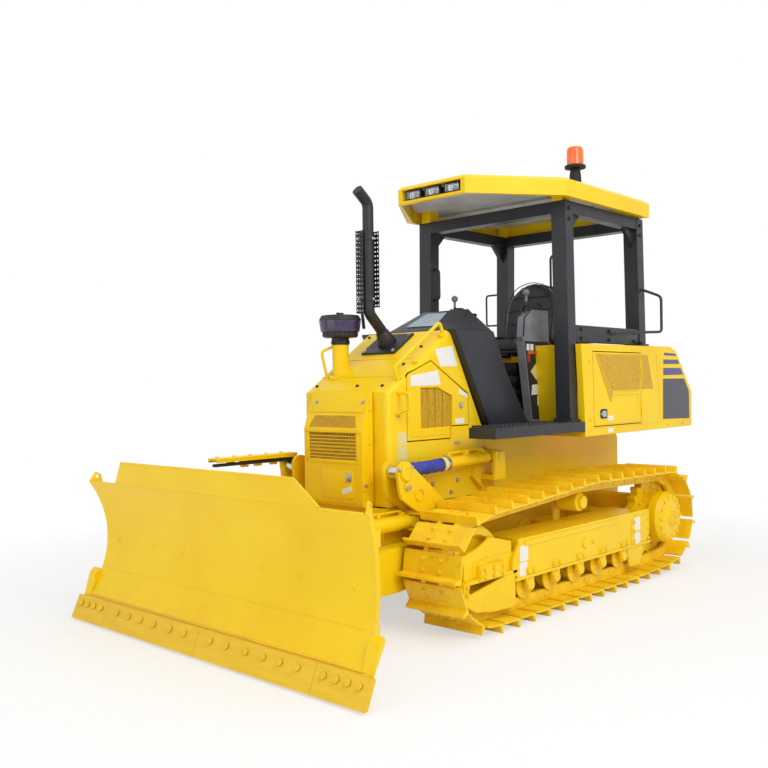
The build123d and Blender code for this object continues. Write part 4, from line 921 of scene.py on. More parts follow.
class DOZER_OT_wheels(bpy.types.Operator):
    """Bolts, bosses, caps and plates of the drives, idlers, rollers and track frames"""

    bl_idname = "dozer.wheels"
    bl_label = "Wheels and track frames"

    def execute(self, context):
        drive = [
            turned("drive_rim", [(176, 872), (160, 899), (128, 903), (128, 897), (158, 892), (170, 868)],
                   (-1310, 0, 388), "Y", 56),
            turned("drive_hub", [(62, 908), (62, 922), (54, 925), (30, 925), (30, 921.5), (0, 921.5)],
                   (-1310, 0, 388), "Y", 32),
            turned("idler_cap", [(46, 810), (46, 838), (38, 846), (0, 846)], (822, 0, 350), "Y", 28),
            turned("frame_boss", [(32, 848), (32, 860), (27, 864), (0, 864)], (-223, 0, 347), "Y", 28),
            lay("yoke_plate", rectangle(650, 862, 292, 366, 10), 861, 6, 1.5),
            lay("idler_guard", [(529, 208), (529, 292), (655, 276), (965, 224), (1009, 238), (1008, 222), (977, 167),
                                (900, 123), (741, 100), (560, 88), (529, 104)], 832, 18, 4),
            lay("idler_cheek", [(531, 460), (640, 488), (732, 508), (841, 462), (970, 432), (965, 285), (531, 300)],
                805, 20, 4),
            box("guard_shelf", (511, 825, 280), (972, 850, 300), 3),
            box("yoke_block", (645, 825, 285), (870, 862, 372), 5),
            box("guard_lug", (962, 809, 218), (1009, 856, 298), 5),
            lay("rear_guard", [(-770, 240), (-806, 100), (-960, 100), (-1015, 240)], 832, 18, 4),
            lay("frame_lip", rectangle(-1086, 541, 232, 250), 849, 11, 3),
            lay("frame_web", [(-1084, 305), (-1084, 440), (-870, 440), (-830, 400), (-830, 252), (-1030, 252)], 849, 5,
                1.5),
            lay("frame_step", [(-640, 420), (-640, 452), (440, 452), (440, 420)], 849, 7, 1.5),
        ]
        for x in (383, 107, -169, -445, -721):
            drive.append(turned("roller_end", [(34, 848), (34, 856), (28, 862), (0, 862)], (x, 0, 190), "Y", 24))
            drive.append(lay("roller_bracket", [(x - 46, 252), (x - 46, 296), (x + 46, 296), (x + 46, 252)], 849, 5,
                             1.5))
        dress(pair("drive_trim", drive), "yellow")
        places = ring_places(-1310, 899, 388, 143, 14) + ring_places(-1310, 921, 388, 44, 6)
        places += ring_places(-1310, 753, 388, 205, 12) + ring_places(822, 846, 350, 28, 3, turn=0.5)
        places += side_places(854, ((x + dx, 274) for x in (383, 107, -169, -445, -721) for dx in (-30, 30)))
        places += side_places(867, ((x, z) for x in (676, 756, 836) for z in (310, 350)))
        places += side_places(856, ((985, z) for z in (238, 278))) + side_places(850, ((-320, 342),))
        places += side_places(850, ((x, z) for x in (-1060, -860) for z in (270, 335, 400)))
        bolt_rows("drive_bolts", both_bolts(places), 24, 12, "yellow")
        blanks = [lay("frame_label", rectangle(x0, x1, z0, z1, 6), 850, 1.2, 0) for x0, x1, z0, z1 in (
            (404, 484, 334, 424), (413, 491, 246, 328))]
        blanks += [lay("frame_label", rectangle(x0, x1, z0, z1, 6), 854, 1.2, 0) for x0, x1, z0, z1 in (
            (-945, -866, 338, 430), (-945, -866, 250, 326))]
        dress(pair("frame_labels", blanks), "white_film")
        return {"FINISHED"}


# ---------------------------------------------------------------- front mask and hood

class DOZER_OT_mask(bpy.types.Operator):
    """Panels, grilles, hatch, latch and bolts of the front mask"""

    bl_idname = "dozer.mask"
    bl_label = "Front mask"

    def execute(self, context):
        out = Vector((137, 0, 47)).normalized()
        steep = Vector((80, 0, 30)).normalized()
        upper = panel("mask_upper", [(1066, -212, 1317), (1066, 212, 1317), (1106, 218, 1200), (1106, -218, 1200)],
                      out * 4, 2.5)
        lip = box("mask_lip", (1128, -236, 1084), (1146, 236, 1108), 5, 3)
        hatch = panel("mask_hatch", [(1138.5, y, z) for y, z in rectangle(-84, 178, 706, 872, 18)], (6, 0, 0), 2.5, 2)
        frame_low = panel("mask_chin", [(1138.5, y, z) for y, z in rectangle(-222, 222, 690, 902, 14)], (2, 0, 0), 1,
                          1)
        bracket = box("mask_bracket", (1094, 238, 758), (1136, 247, 822), 3)
        stiles = [box("mask_stile", (1132, y - 12, 922), (1142, y + 12, 1090), 2.5) for y in (-208, 208)]
        rail = box("mask_rail", (1132, -220, 908), (1142, 220, 930), 2.5)
        dress(joined("mask_panels", [upper, lip, hatch, frame_low, bracket, rail, *stiles]), "yellow", "front_mask")

        slat = box("mask_slat", (1134, -196, 932), (1138, 196, 935), 0.8, 1)
        slats = [copy_of(slat, "mask_slat", (0, 0, 6.4 * n)) for n in range(24)]
        bpy.data.objects.remove(slat)
        slats += [box("mask_wire", (1131, y - 1.5, 930), (1134.5, y + 1.5, 1086), 0, 1) for y in range(-180, 181, 24)]
        slant = panel("mask_slant", [(1137, -196, 1116), (1137, 196, 1116), (1112, 168, 1183), (1112, -168, 1183)],
                      steep * 3, 1)
        ribs = []
        for n in range(13):
            share = (n + 1) / 14
            x, z, half = 1137 - 25 * share + 3, 1116 + 67 * share + 1, 194 - 28 * share
            ribs.append(box("slant_rib", (x - 1.5, -half, z - 1.2), (x + 1.5, half, z + 1.2), 0, 1))
        dress(joined("mask_grilles", [*slats, slant, *ribs]), "grille", "front_mask")

        latch = [box("latch_cup", (1143, 118, 806), (1149, 160, 856), 4, 2),
                 box("latch_tab", (1148, 128, 812), (1156, 150, 840), 3, 2)]
        dress(joined("mask_latch", latch), "steel", "front_mask")
        bolt_rows("mask_bolts", [((1090, y, 1262), out) for y in (-178, 205)] + [((1115, 247, 790), (0, 1, 0))],
                  20, 9, "steel", "front_mask")
        blank_label = panel("mask_label", [(1145, 158, 786), (1145, 168, 757), (1145, 90, 728), (1145, 80, 757)],
                            (1.2, 0, 0), 0, 1)
        dress(blank_label, "white_film", "front_mask")
        return {"FINISHED"}


HOOD_OUTLINE = [(1040, 660), (1040, 1313.6), (485, 1686), (150, 1046), (150, 660)]
DOOR_OUTLINE = [(874, 1030), (874, 1400), (858, 1418), (660, 1494), (310, 1292), (304, 1104), (486, 1104), (486, 1030)]
DOOR_GRILLE = [(757, 1098), (758, 1337), (600, 1337), (463, 1286), (466, 1102)]


class DOZER_OT_hood(bpy.types.Operator):
    """Rounded hood, engine doors with mesh, latches and labels, seams, edge rail and fasteners"""

    bl_idname = "dozer.hood"
    bl_label = "Hood and engine doors"

    def execute(self, context):
        cover = panel("hood_cover", [(x, -HOOD_SIDE, z) for x, z in HOOD_OUTLINE], (0, 2 * HOOD_SIDE, 0), 0)
        edit(cover, "EDGE")
        bpy.ops.object.mode_set(mode="OBJECT")
        for edge in cover.data.edges:
            first, last = (cover.data.vertices[n].co / MM for n in edge.vertices)
            same_side = abs(first.y - last.y) < 1
            high = min(first.z, last.z) > 1300 and max(first.x, last.x) > 1000
            nose = first.x > 1039 and last.x > 1039
            edge.select = same_side and (high or nose)
        bpy.ops.object.mode_set(mode="EDIT")
        bpy.ops.mesh.bevel(offset=38 * MM, segments=6, affect="EDGES")
        let_go()
        apply_on(cover, "SOLIDIFY", thickness=12 * MM, offset=-1.0, use_even_offset=True)
        gap = [(x + dx, z + dz) for (x, z), (dx, dz) in zip(
            DOOR_OUTLINE, ((6, -6), (6, 6), (2, 6), (0, 6), (-6, 6), (-6, -6), (-6, -6), (-6, -6)))]
        for way in (1, -1):
            cut(cover, lay("door_gap", gap, way * 330, 40, 0))
        cut(cover, box("mask_gap", (1020, -220, 724), (1050, 220, 1247), 0))
        cut(cover, box("foot_gap", (100, -400, 600), (1100, 400, 664), 0))
        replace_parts(dress(cover, "yellow"), "hood")
        for way, label in ((1, "left"), (-1, "right")):
            body = "engine_door_" + label
            skin = lay("door_skin", DOOR_OUTLINE, way * 342.5, 9.5, 2)
            cut(skin, lay("door_hole", DOOR_GRILLE, way * 335, 30, 0))
            hinges = [side_box("door_leaf", way, (857, 351, z), (876, 354, z + 60), 1) for z in (1130, 1300)]
            hinges += [drum("door_knuckle", (877, way * 357.3, z), (877, way * 357.3, z + 60), 5, 12, 1)
                       for z in (1130, 1300)]
            pressed = lay("door_swage", [(842, 1052), (842, 1086), (512, 1090), (512, 1052)], way * 351.6, 2.5, 1.2)
            door = joined("door_" + label, [skin, *hinges, pressed])
            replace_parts(dress(door, "yellow", body), body)
            mesh = perforated("door_mesh", 312, 256, 6.5, 12, 9, 1.5)
            mesh.data.transform(Matrix.Translation(Vector((455, way * 341, 1090)) * MM)
                                @ Matrix.Rotation(radians(90), 4, "X"))
            mesh = joined("door_mesh", [mesh, lay("mesh_back", rectangle(455, 767, 1090, 1346), way * 334, 3, 0)])
            frame_bars = [lay("mesh_bar", [(x - 3, 1100), (x + 3, 1100), (x + 3, top), (x - 3, top)], way * 343, 5,
                              0.8)
                          for x, top in ((540, 1314), (610, 1336), (680, 1336))]
            dress(joined("door_mesh_" + label, [mesh, *frame_bars]), "grille", body)
            lock = [drum("lock", (382, way * HOOD_SIDE, 1232), (382, way * 357, 1232), 17, 24, 1),
                    side_box("lock_tab", way, (372, 356, 1208), (392, 362, 1240), 3)]
            dress(joined("door_lock_" + label, lock), "steel", body)
            labels = [lay("door_label", points, way * HOOD_SIDE, 1.0, 0) for points in (
                [(845, 1408), (600, 1440), (572, 1352), (842, 1347)],
                [(402, 1326), (398, 1298), (312, 1268), (316, 1296)],
                rectangle(350, 436, 1112, 1146, 4))]
            dress(joined("door_labels_" + label, labels), "white_film", body)
        side_label = lay("hood_label", [(622, 1566), (458, 1588), (408, 1466), (572, 1462)], HOOD_SIDE, 1.0, 0)
        dress(pair("hood_labels", [side_label]), "white_film")
        pale = [lay("hood_pale", rectangle(884, 960, z0, z1, 4), HOOD_SIDE, 1.0, 0) for z0,
                z1 in ((1006, 1084), (922, 998))]
        dress(pair("hood_pale_labels", pale), "pale_film")
        places = both_bolts(side_places(HOOD_SIDE, (
            (948, 1180), (438, 1000), (412, 998), (840, 905), (945, 880), (945, 740))))
        bolt_rows("hood_bolts", places, 18, 8, "steel")
        normal = slope_normal()
        dark = [(on_slope(x, y, 0.5), normal) for x in (985, 800) for y in (-288, 262)]
        dark += [(on_slope(x, y, 0.5), normal) for x, y in ((985, 60), (640, 262), (520, -288))]
        bolt_rows("slope_bolts", dark, 17, 8, "black", "root")
        plate = [(on_slope(605 + a * normal.z, -45 + b, 13.5), normal) for a in (-92, 92) for b in (-118, 118)]
        bolt_rows("stack_bolts", plate, 20, 10, "steel", "root")
        along = Vector((normal.z, 0, -normal.x))
        seam = []
        for x, y0, y1 in ((902, -330, 330), (742, -330, 330)):
            low = Vector(on_slope(x, y0, -0.5))
            seam.append(panel("hood_seam", [low, low + along * 5, low + along * 5 + Vector((0, y1 - y0, 0)),
                                            low + Vector((0, y1 - y0, 0))], normal * 3, 1, 1))
        clamps = []
        for x in (914, 776, 536):
            place = Vector(on_slope(x, 332, 4))
            clamps.append(drum("rail_foot", place - normal * 8, place + normal * 10, 19, 18, 2))
        rail = tube("edge_rail", [(924, 332, 1374), (961, 332, 1455), (551, 332, 1730), (514, 332, 1649)], 11, 24)
        hook = tube("intake_hook", [(884, -235, 1600), (958, -277, 1566), (908, -280, 1396)], 9, 24)
        dress(joined("hood_seams", seam + clamps + [rail, hook]), "yellow")
        return {"FINISHED"}


# ---------------------------------------------------------------- rear body, canopy and station

class DOZER_OT_lockers(bpy.types.Operator):
    """Locker grilles, a painted shadow strip in grille colour beside them, recessed latches, stripes and plain labels
    of the rear body
    """

    bl_idname = "dozer.lockers"
    bl_label = "Lockers and stripes"

    def execute(self, context):
        for way, label in ((1, "left"), (-1, "right")):
            body = "locker_door_" + label
            main = lay("locker_mesh", [(-676, 1548), (-1268, 1550), (-1268, 1302), (-872, 1298)], way * BODY_SIDE, 3,
                       1)
            # painted shadow: a thin strip in grille colour along the grille's front edge and below it, where a cast
            # shadow falls on the locker door
            painted_shadow_strip = lay("locker_painted_shadow", [(-640, 1546), (-668, 1548), (-868, 1296), (-852, 1222), (-838, 1216)],
                         way * BODY_SIDE, 3, 1)
            grooves = []
            for n in range(21):
                z = 1312 + 11.3 * n
                front = -672 - (1548 - z) * 0.79
                grooves.append(lay("locker_rib", rectangle(-1262, front - 8, z - 1.6, z + 1.6), way * 702.6, 1.8, 0))
            dress(joined("locker_grille_and_shadow_" + label, [main, painted_shadow_strip, *grooves]), "grille", body)
            frame_strip = [lay("locker_frame", rectangle(-1270, -632, 1068, 1084, 3), way * BODY_SIDE, 3, 1),
                           lay("locker_fold", [(-872, 1280), (-1268, 1284), (-1268, 1270), (-868, 1266)],
                               way * BODY_SIDE, 4,
                               1)]
            dress(joined("locker_trim_" + label, frame_strip), "yellow", body)
            cup = lay("latch_cup", rectangle(-792, -696, 1106, 1172, 16), way * BODY_SIDE, 2.2, 1)
            dress(cup, "black_plastic", body)
            handle = [lay("latch_paddle", rectangle(-776, -722, 1118, 1160, 8), way * 702, 4, 1.5),
                      drum("latch_key", (-710, way * 701, 1139), (-710, way * 706, 1139), 9, 18, 1)]
            dress(joined("locker_latch_" + label, handle), "steel", body)
            dress(lay("locker_label_" + label, rectangle(-872, -806, 1090, 1124, 3), way * BODY_SIDE, 1.0, 0),
                  "white_film",
                  body)
        rear = [lay("rear_mesh", [(-1292, 1550), (-1384, 1552), (-1470, 1302), (-1292, 1302)], BODY_SIDE, 3, 1)]
        rear += [lay("rear_rib", rectangle(-1384 - (1548 - z) * 0.34 + 8, -1298, z - 1.6, z + 1.6), 702.6, 1.8, 0)
                 for z in (1312 + 11.3 * n for n in range(21))]
        dress(pair("rear_grilles", rear), "grille")
        seams = [lay("rear_seam", [(-1520, 1560), (-1526, 1560), (-1596, 1070), (-1590, 1070)], BODY_SIDE, 1.6, 0),
                 lay("rear_sill", [(-520, 1052), (-1290, 1052), (-1290, 1044), (-520, 1044)], BODY_SIDE, 2.4, 0.8),
                 lay("rear_sill", [(-1290, 1052), (-1600, 1058), (-1600, 1050), (-1290, 1044)], BODY_SIDE, 2.4, 0.8)]
        dress(pair("rear_seams", seams), "yellow")
        stripes = [lay("rear_stripe", points, BODY_SIDE, 1.0, 0) for points in (
            [(-1655, 1552), (-1655, 1572), (-1838, 1568), (-1862, 1550)],
            [(-1643, 1486), (-1643, 1521), (-1888, 1521), (-1912, 1490)],
            [(-1640, 1402), (-1638, 1457), (-1935, 1457), (-1978, 1406)])]
        dress(pair("rear_stripes", stripes), "stripe_film")
        patch = lay("rear_patch", [(-1634, 1376), (-1996, 1376), (-2076, 1276), (-2082, 1062), (-1626, 1072)],
                    BODY_SIDE,
                    1.0, 0)
        dress(pair("rear_patches", [patch]), "dark_film")
        blank_low = lay("rear_label", rectangle(-868, -800, 1008, 1040, 3), BODY_SIDE, 1.0, 0)
        dress(pair("rear_labels", [blank_low]), "white_film")
        places = both_bolts(side_places(BODY_SIDE, ((-1700, 1030), (-1960, 1030), (-560, 1110), (-560, 1500))))
        bolt_rows("rear_bolts", places, 20, 8, "yellow")
        caps = [turned("fuel_cap", [(58, 1612), (58, 1634), (50, 1642), (0, 1642)], (-1720, 360, 0), "Z", 32),
                turned("oil_cap", [(40, 1612), (40, 1628), (34, 1634), (0, 1634)], (-1700, -360, 0), "Z", 28)]
        dress(joined("filler_caps", caps), "black_plastic")
        return {"FINISHED"}


class DOZER_OT_exhaust(bpy.types.Operator):
    """Perforated guard round the exhaust pipe, and the horn at its foot"""

    bl_idname = "dozer.exhaust"
    bl_label = "Exhaust guard"

    def execute(self, context):
        pitch = context.scene.dozer_sizes.mesh_pitch / MM
        turn_x, turn_z = Matrix.Rotation(radians(90), 4, "X"), Matrix.Rotation(radians(90), 4, "Z")
        sheets = []
        for name, wide, tall, place, matrix in (
                ("guard_web", 100, 500, (720, -103.5, 1800), turn_x),
                ("guard_near", 60, 500, (818.5, -105, 1800), turn_z @ turn_x),
                ("guard_far", 102, 466, (721.5, -105, 1834), turn_z @ turn_x)):
            sheet = perforated(name, wide, tall, 13, pitch, pitch * 1.27, 3)
            sheet.data.transform(Matrix.Translation(Vector(place) * MM) @ matrix)
            sheets.append(sheet)
        rims = [box("guard_rim", (716, -107, z), (821, -101, z + 8), 1.5, 1) for z in (1797, 2294)]
        rims += [box("guard_edge", (x - 1, y - 4, low), (x + 3.5, y + 3, 2302), 1.5, 1)
                 for x, y, low in ((817, -47, 1797), (719, -5, 1831))]
        strip = panel("guard_foot", [(817, -70, 1802), (817, -45, 1802), (803, -45, 1700), (803, -70, 1700)],
                      (3, 0, 0), 0.8)
        lugs = [box("guard_lug", (761, -104, z), (779, -79.5, z + 24), 1.5) for z in (1870, 2240)]
        bands = [drum("guard_band", (770, -45, z), (770, -45, z + 24), 36.5, 32, 1.5) for z in (1870, 2240)]
        horn = drum("stack_horn", on_slope(605, -45, 12), on_slope(605, -45, 100), 62, 36, 3, radius_end=39)
        guard = joined("stack_guard", [*sheets, *rims, strip, *lugs, *bands, horn])
        dress(guard, "black", "root")
        bolt_rows("guard_bolts", [((820.5, -82, z), (1, 0, 0)) for z in (1880, 2250)]
                  + [((770, -8, z), (0, 1, 0)) for z in (1882, 2252)], 14, 7, "steel", "root")
        return {"FINISHED"}


class DOZER_OT_cleaner(bpy.types.Operator):
    """Violet bowl, ribs, band and cap screw of the air pre-cleaner"""

    bl_idname = "dozer.cleaner"
    bl_label = "Air pre-cleaner"

    def execute(self, context):
        centre = (864, -205, 1604.3)
        base = turned("cleaner_base", [(0, 1), (54, 1), (54, 44), (102, 48), (108, 56), (108, 79), (0, 79)], centre,
                      "Z", 64)
        bowl = turned("cleaner_bowl", [(100, 78), (112, 79), (118, 80.5), (128, 146), (128, 150), (100, 150)], centre,
                      "Z", 64)
        ribs = []
        for n in range(20):
            turn = 2 * pi * n / 20
            rib = box("bowl_rib", (-1.6, -1.6, 0), (1.6, 1.6, 62), 0.6, 1)
            ribs.append(placed(rib, Matrix.Translation(Vector((
                centre[0] + 118.6 * cos(turn), centre[1] + 118.6 * sin(turn), centre[2] + 84)) * MM)
                @ Matrix.Rotation(turn, 4, "Z") @ Matrix.Rotation(atan2(9.6, 62), 4, "Y")))
        dress(joined("cleaner_glass", [bowl, *ribs]), "bowl", "root")
        cap = turned("cleaner_cap",
                     [(0, 149), (128, 149), (129, 152), (129, 160), (116, 182), (96, 184), (60, 183), (0, 184)],
                     centre, "Z", 64)
        screw = [turned("cap_screw", [(16, 182), (16, 192), (10, 197), (0, 197)], centre, "Z", 20),
                 box("cap_wing", (834, -208, 1792), (894, -202, 1806), 2.5, 2)]
        vanes = [placed(box("inlet_vane", (101, -1.5, 54), (110, 1.5, 78), 0.5, 1),
                        Matrix.Translation(Vector(centre) * MM) @ Matrix.Rotation(2 * pi * n / 24, 4, "Z"))
                 for n in range(24)]
        top = joined("cleaner_top", [base, cap, *screw, *vanes])
        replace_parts(dress(top, "black_plastic", "root"), "precleaner")
        band = turned("cleaner_band", [(54.5, 8), (58, 9), (58, 27), (54.5, 28)], centre, "Z", 48)
        ear = box("clamp_ear", (914, -212, 1614), (932, -198, 1630), 2)
        dress(joined("cleaner_clamp", [band, ear]), "black", "root")
        neck = turned("intake_neck", [(51, -240), (51, -3), (53, -1), (53, 2), (48, 2)], centre, "Z", 40)
        foot = turned("neck_flange", [(51, -6), (76, -6), (76, 6), (54, 8), (51, 14)], (0, 0, 0), "Z", 40)
        tilt = slope_normal().to_track_quat("Z", "Y").to_matrix().to_4x4()
        placed(foot, Matrix.Translation(Vector(on_slope(864, -205, 4)) * MM) @ tilt)
        dress(joined("intake_neck", [neck, foot]), "yellow")
        return {"FINISHED"}


BEACON = (-580, 600, 2688.3)


class DOZER_OT_roof(bpy.types.Operator):
    """Work lamps, ceiling liner, edge bolts and beacon of the canopy"""

    bl_idname = "dozer.roof"
    bl_label = "Canopy, lamps and beacon"

    def execute(self, context):
        depth = context.scene.dozer_sizes.lamp_depth / MM
        housings, bowls, lenses = [], [], []
        for y in (-165, 0, 165):
            shell = box("lamp_housing", (168, y - 62, 2592), (214, y + 62, 2655), 5, 2)
            edit(shell)
            pick(shell, lambda centre, normal: normal.x > 0.9)
            bpy.ops.mesh.inset(thickness=7 * MM)
            bpy.ops.transform.translate(value=(-depth * MM, 0, 0))
            bpy.ops.transform.resize(value=(1, 0.82, 0.7), center_override=(0.19, y * MM, 2.6235))
            housings.append(shell)
            housings.append(drum("lamp_pivot", (188, y - 70, 2600), (188, y + 70, 2600), 6, 12, 1))
            back = box("lamp_bowl", (214 - depth + 0.5, y - 44, 2604), (214 - depth + 3, y + 44, 2643), 0.6, 1)
            bulb = drum("lamp_bulb", (214 - depth + 2, y, 2623), (214 - 8, y, 2623), 11, 16, 3)
            bowls += [back, bulb]
            lenses.append(box("lamp_lens", (208, y - 55, 2599), (211, y + 55, 2648), 1.2, 2))
        recess = box("lamp_recess", (167.2, -249, 2588), (169, 249, 2659), 0, 1)
        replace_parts(dress(joined("lamp_housings", [*housings, recess]), "black_plastic", "root"),
                    "roof_lamps")
        dress(joined("lamp_bowls", bowls), "reflector", "root")
        dress(joined("lamp_lenses", lenses), "lens", "root")
        liner = panel("ceiling", [(186, -250, 2646), (186, 250, 2646), (-356, 652, 2646), (-1414, 652, 2646),
                                  (-1414, -652, 2646), (-356, -652, 2646)], (0, 0, 6), 1, 1)
        ribs = [box("ceiling_rib", (x - 20, -620, 2632), (x + 20, 620, 2647), 4, 2) for x in (-620, -1120)]
        dress(joined("roof_liner", [liner, *ribs]), "liner")
        places = [((x, y, 2688), (0, 0, 1)) for x in (-438, -1418) for y in (-570, 570)]
        places += [((x, y, 2687.5), (0, 0, 1)) for x in (-700, -1100) for y in (-640, 640)]
        bolt_rows("roof_bolts", places, 30, 12, "yellow")
        swage = [panel("roof_swage", [(x, -520, 2687), (x + 44, -520, 2687), (x + 44, 520, 2687), (x, 520, 2687)],
                       (0, 0, 5), 3, 2) for x in (-1260, -1000, -740)]
        dress(joined("roof_swages", swage), "yellow")
        stem = turned("beacon_stem", [(48, 0), (48, 10), (41, 16), (38, 70), (30, 112), (0, 112)], BEACON,
                      "Z", 40)
        grooves = [turned("stem_ring", [(r, z), (r + 2.5, z + 2), (r + 2.5, z + 6), (r, z + 8)], BEACON,
                          "Z", 40)
                   for r, z in ((38.5, 40), (36, 62), (33, 84))]
        plate = turned("beacon_plate", [(0, 112), (70, 112), (71, 116), (71, 128), (58, 133), (0, 133)],
                       BEACON, "Z", 48)
        dome = turned("beacon_dome", [(0, 131), (57, 131), (57, 140), (55.5, 142), (54, 236), (50, 248), (42, 254),
                                      (24, 257), (0, 257.5)], BEACON, "Z", 64)
        flutes = [drum("dome_flute", (-580 + 54.5 * cos(a), 600 + 54.5 * sin(a), 2688.3 + 144),
                       (-580 + 53 * cos(a), 600 + 53 * sin(a), 2688.3 + 236), 1.6, 6, 0)
                  for a in (2 * pi * n / 28 for n in range(28))]
        bracket = box("beacon_bracket", (-650, 535, 2686), (-510, 660, 2692), 2)
        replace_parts(dress(joined("beacon_lens", [dome, *flutes]), "amber", "root"), "beacon")
        dress(joined("beacon_stem", [stem, *grooves, plate]), "rubber", "root")
        dress(bracket, "yellow")
        core = turned("beacon_core", [(0, 134), (30, 134), (30, 150), (16, 156), (14, 200), (0, 204)],
                      BEACON, "Z", 28)
        dress(core, "reflector", "root")
        return {"FINISHED"}


class DOZER_OT_seat(bpy.types.Operator):
    """Filled seat cushion and backrest with sewn channels, on a bellows suspension"""

    bl_idname = "dozer.seat"
    bl_label = "Seat"

    def execute(self, context):
        cushion = box("seat_cushion", (-866, -236, 1584), (-446, 236, 1655), 28, 3)
        edit(cushion)
        pick(cushion, lambda centre, normal: normal.z > 0.9)
        bpy.ops.mesh.inset(thickness=0.07)
        bpy.ops.transform.translate(value=(0, 0, -0.012))
        let_go()
        cushion = plump(cushion, 14)
        place = Matrix.Translation(Vector((-958, 0, 1630)) * MM) @ Matrix.Rotation(radians(-10), 4, "Y")
        outline = [(-222, 6), (222, 6), (232, 60), (236, 240)]
        outline += [(236 * cos(a), 245 + 232 * sin(a)) for a in (pi * n / 14 for n in range(1, 14))]
        outline += [(-236, 240), (-232, 60)]
        back = panel("seat_back", [(16, y, z) for y, z in outline], (78, 0, 0), 24, 3)
        back.data.transform(place)
        back = plump(back, 14)
        for piece, fill in ((cushion, 0.7), (back, 0.7)):
            apply_on(piece, "SUBSURF", levels=1, render_levels=1)
        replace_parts(dress(cushion, "vinyl", "root", 60), "seat")
        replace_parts(dress(back, "vinyl", "root", 60), "seat")
        piping = tube("back_piping",
                      [(102, -205, 40), (108, -214, 250), (106, -150, 430), (104, 0, 474), (106, 150, 430),
                                      (108, 214, 250), (102, 205, 40)], 3.2, 60, 8)
        seams = [tube("back_channel", [(112, -190, z), (118, 0, z), (112, 190, z)], 2.4, 60, 8) for z in (150, 250,
                                                                                                          350)]
        for piece in (piping, *seams):
            piece.data.transform(place)
        front = [tube("cushion_channel", [(x, -200, 1666), (x, 0, 1669), (x, 200, 1666)], 2.4, 60, 8)
                 for x in (-770, -680, -590)]
        dress(joined("seat_piping", [piping, *seams, *front]), "rubber", "root")
        shell = panel("seat_shell", [(-4, y * 0.97, z) for y, z in outline], (14, 0, 0), 5, 2)
        shell.data.transform(place)
        pan = box("seat_pan", (-876, -240, 1565), (-440, 240, 1581), 6, 2)
        rails = [box("seat_rail", (-850, y - 18, 1543), (-480, y + 18, 1567), 4) for y in (-150, 150)]
        handle = [tube("slide_bar", [(-460, -130, 1555), (-420, -130, 1553), (-420, 130, 1553), (-460, 130, 1555)], 6,
                       16),
                  turned("weight_knob", [(20, 245), (24, 248), (24, 270), (18, 276), (0, 276)], (-560, 0, 1547), "Y",
                         20)]
        dress(joined("seat_shell", [shell, pan, *rails, *handle]), "black_plastic", "root")
        rings = []
        for n in range(9):
            z = 1140 + 45 * n
            wide = 168 if n % 2 else 150
            rings.append((wide, z))
        folds = []
        for (half, z), (next_half, next_z) in zip(rings, rings[1:]):
            fold = box("bellows_fold", (-650 - half, -half, z), (-650 + half, half, z + 46), 0, 1)
            edit(fold)
            pick(fold, lambda centre, normal: normal.z > 0.9)
            share = next_half / half
            bpy.ops.transform.resize(value=(share, share, 1), center_override=(-0.65, 0, next_z * MM))
            let_go()
            folds.append(fold)
        bellows = joined("seat_bellows", folds)
        apply_on(bellows, "BEVEL", width=0.006, segments=2, limit_method="ANGLE")
        dress(bellows, "rubber", "root", 50)
        foot = box("seat_foot", (-830, -180, 1095.5), (-470, 180, 1142), 6)
        dress(foot, "charcoal", "root")
        return {"FINISHED"}


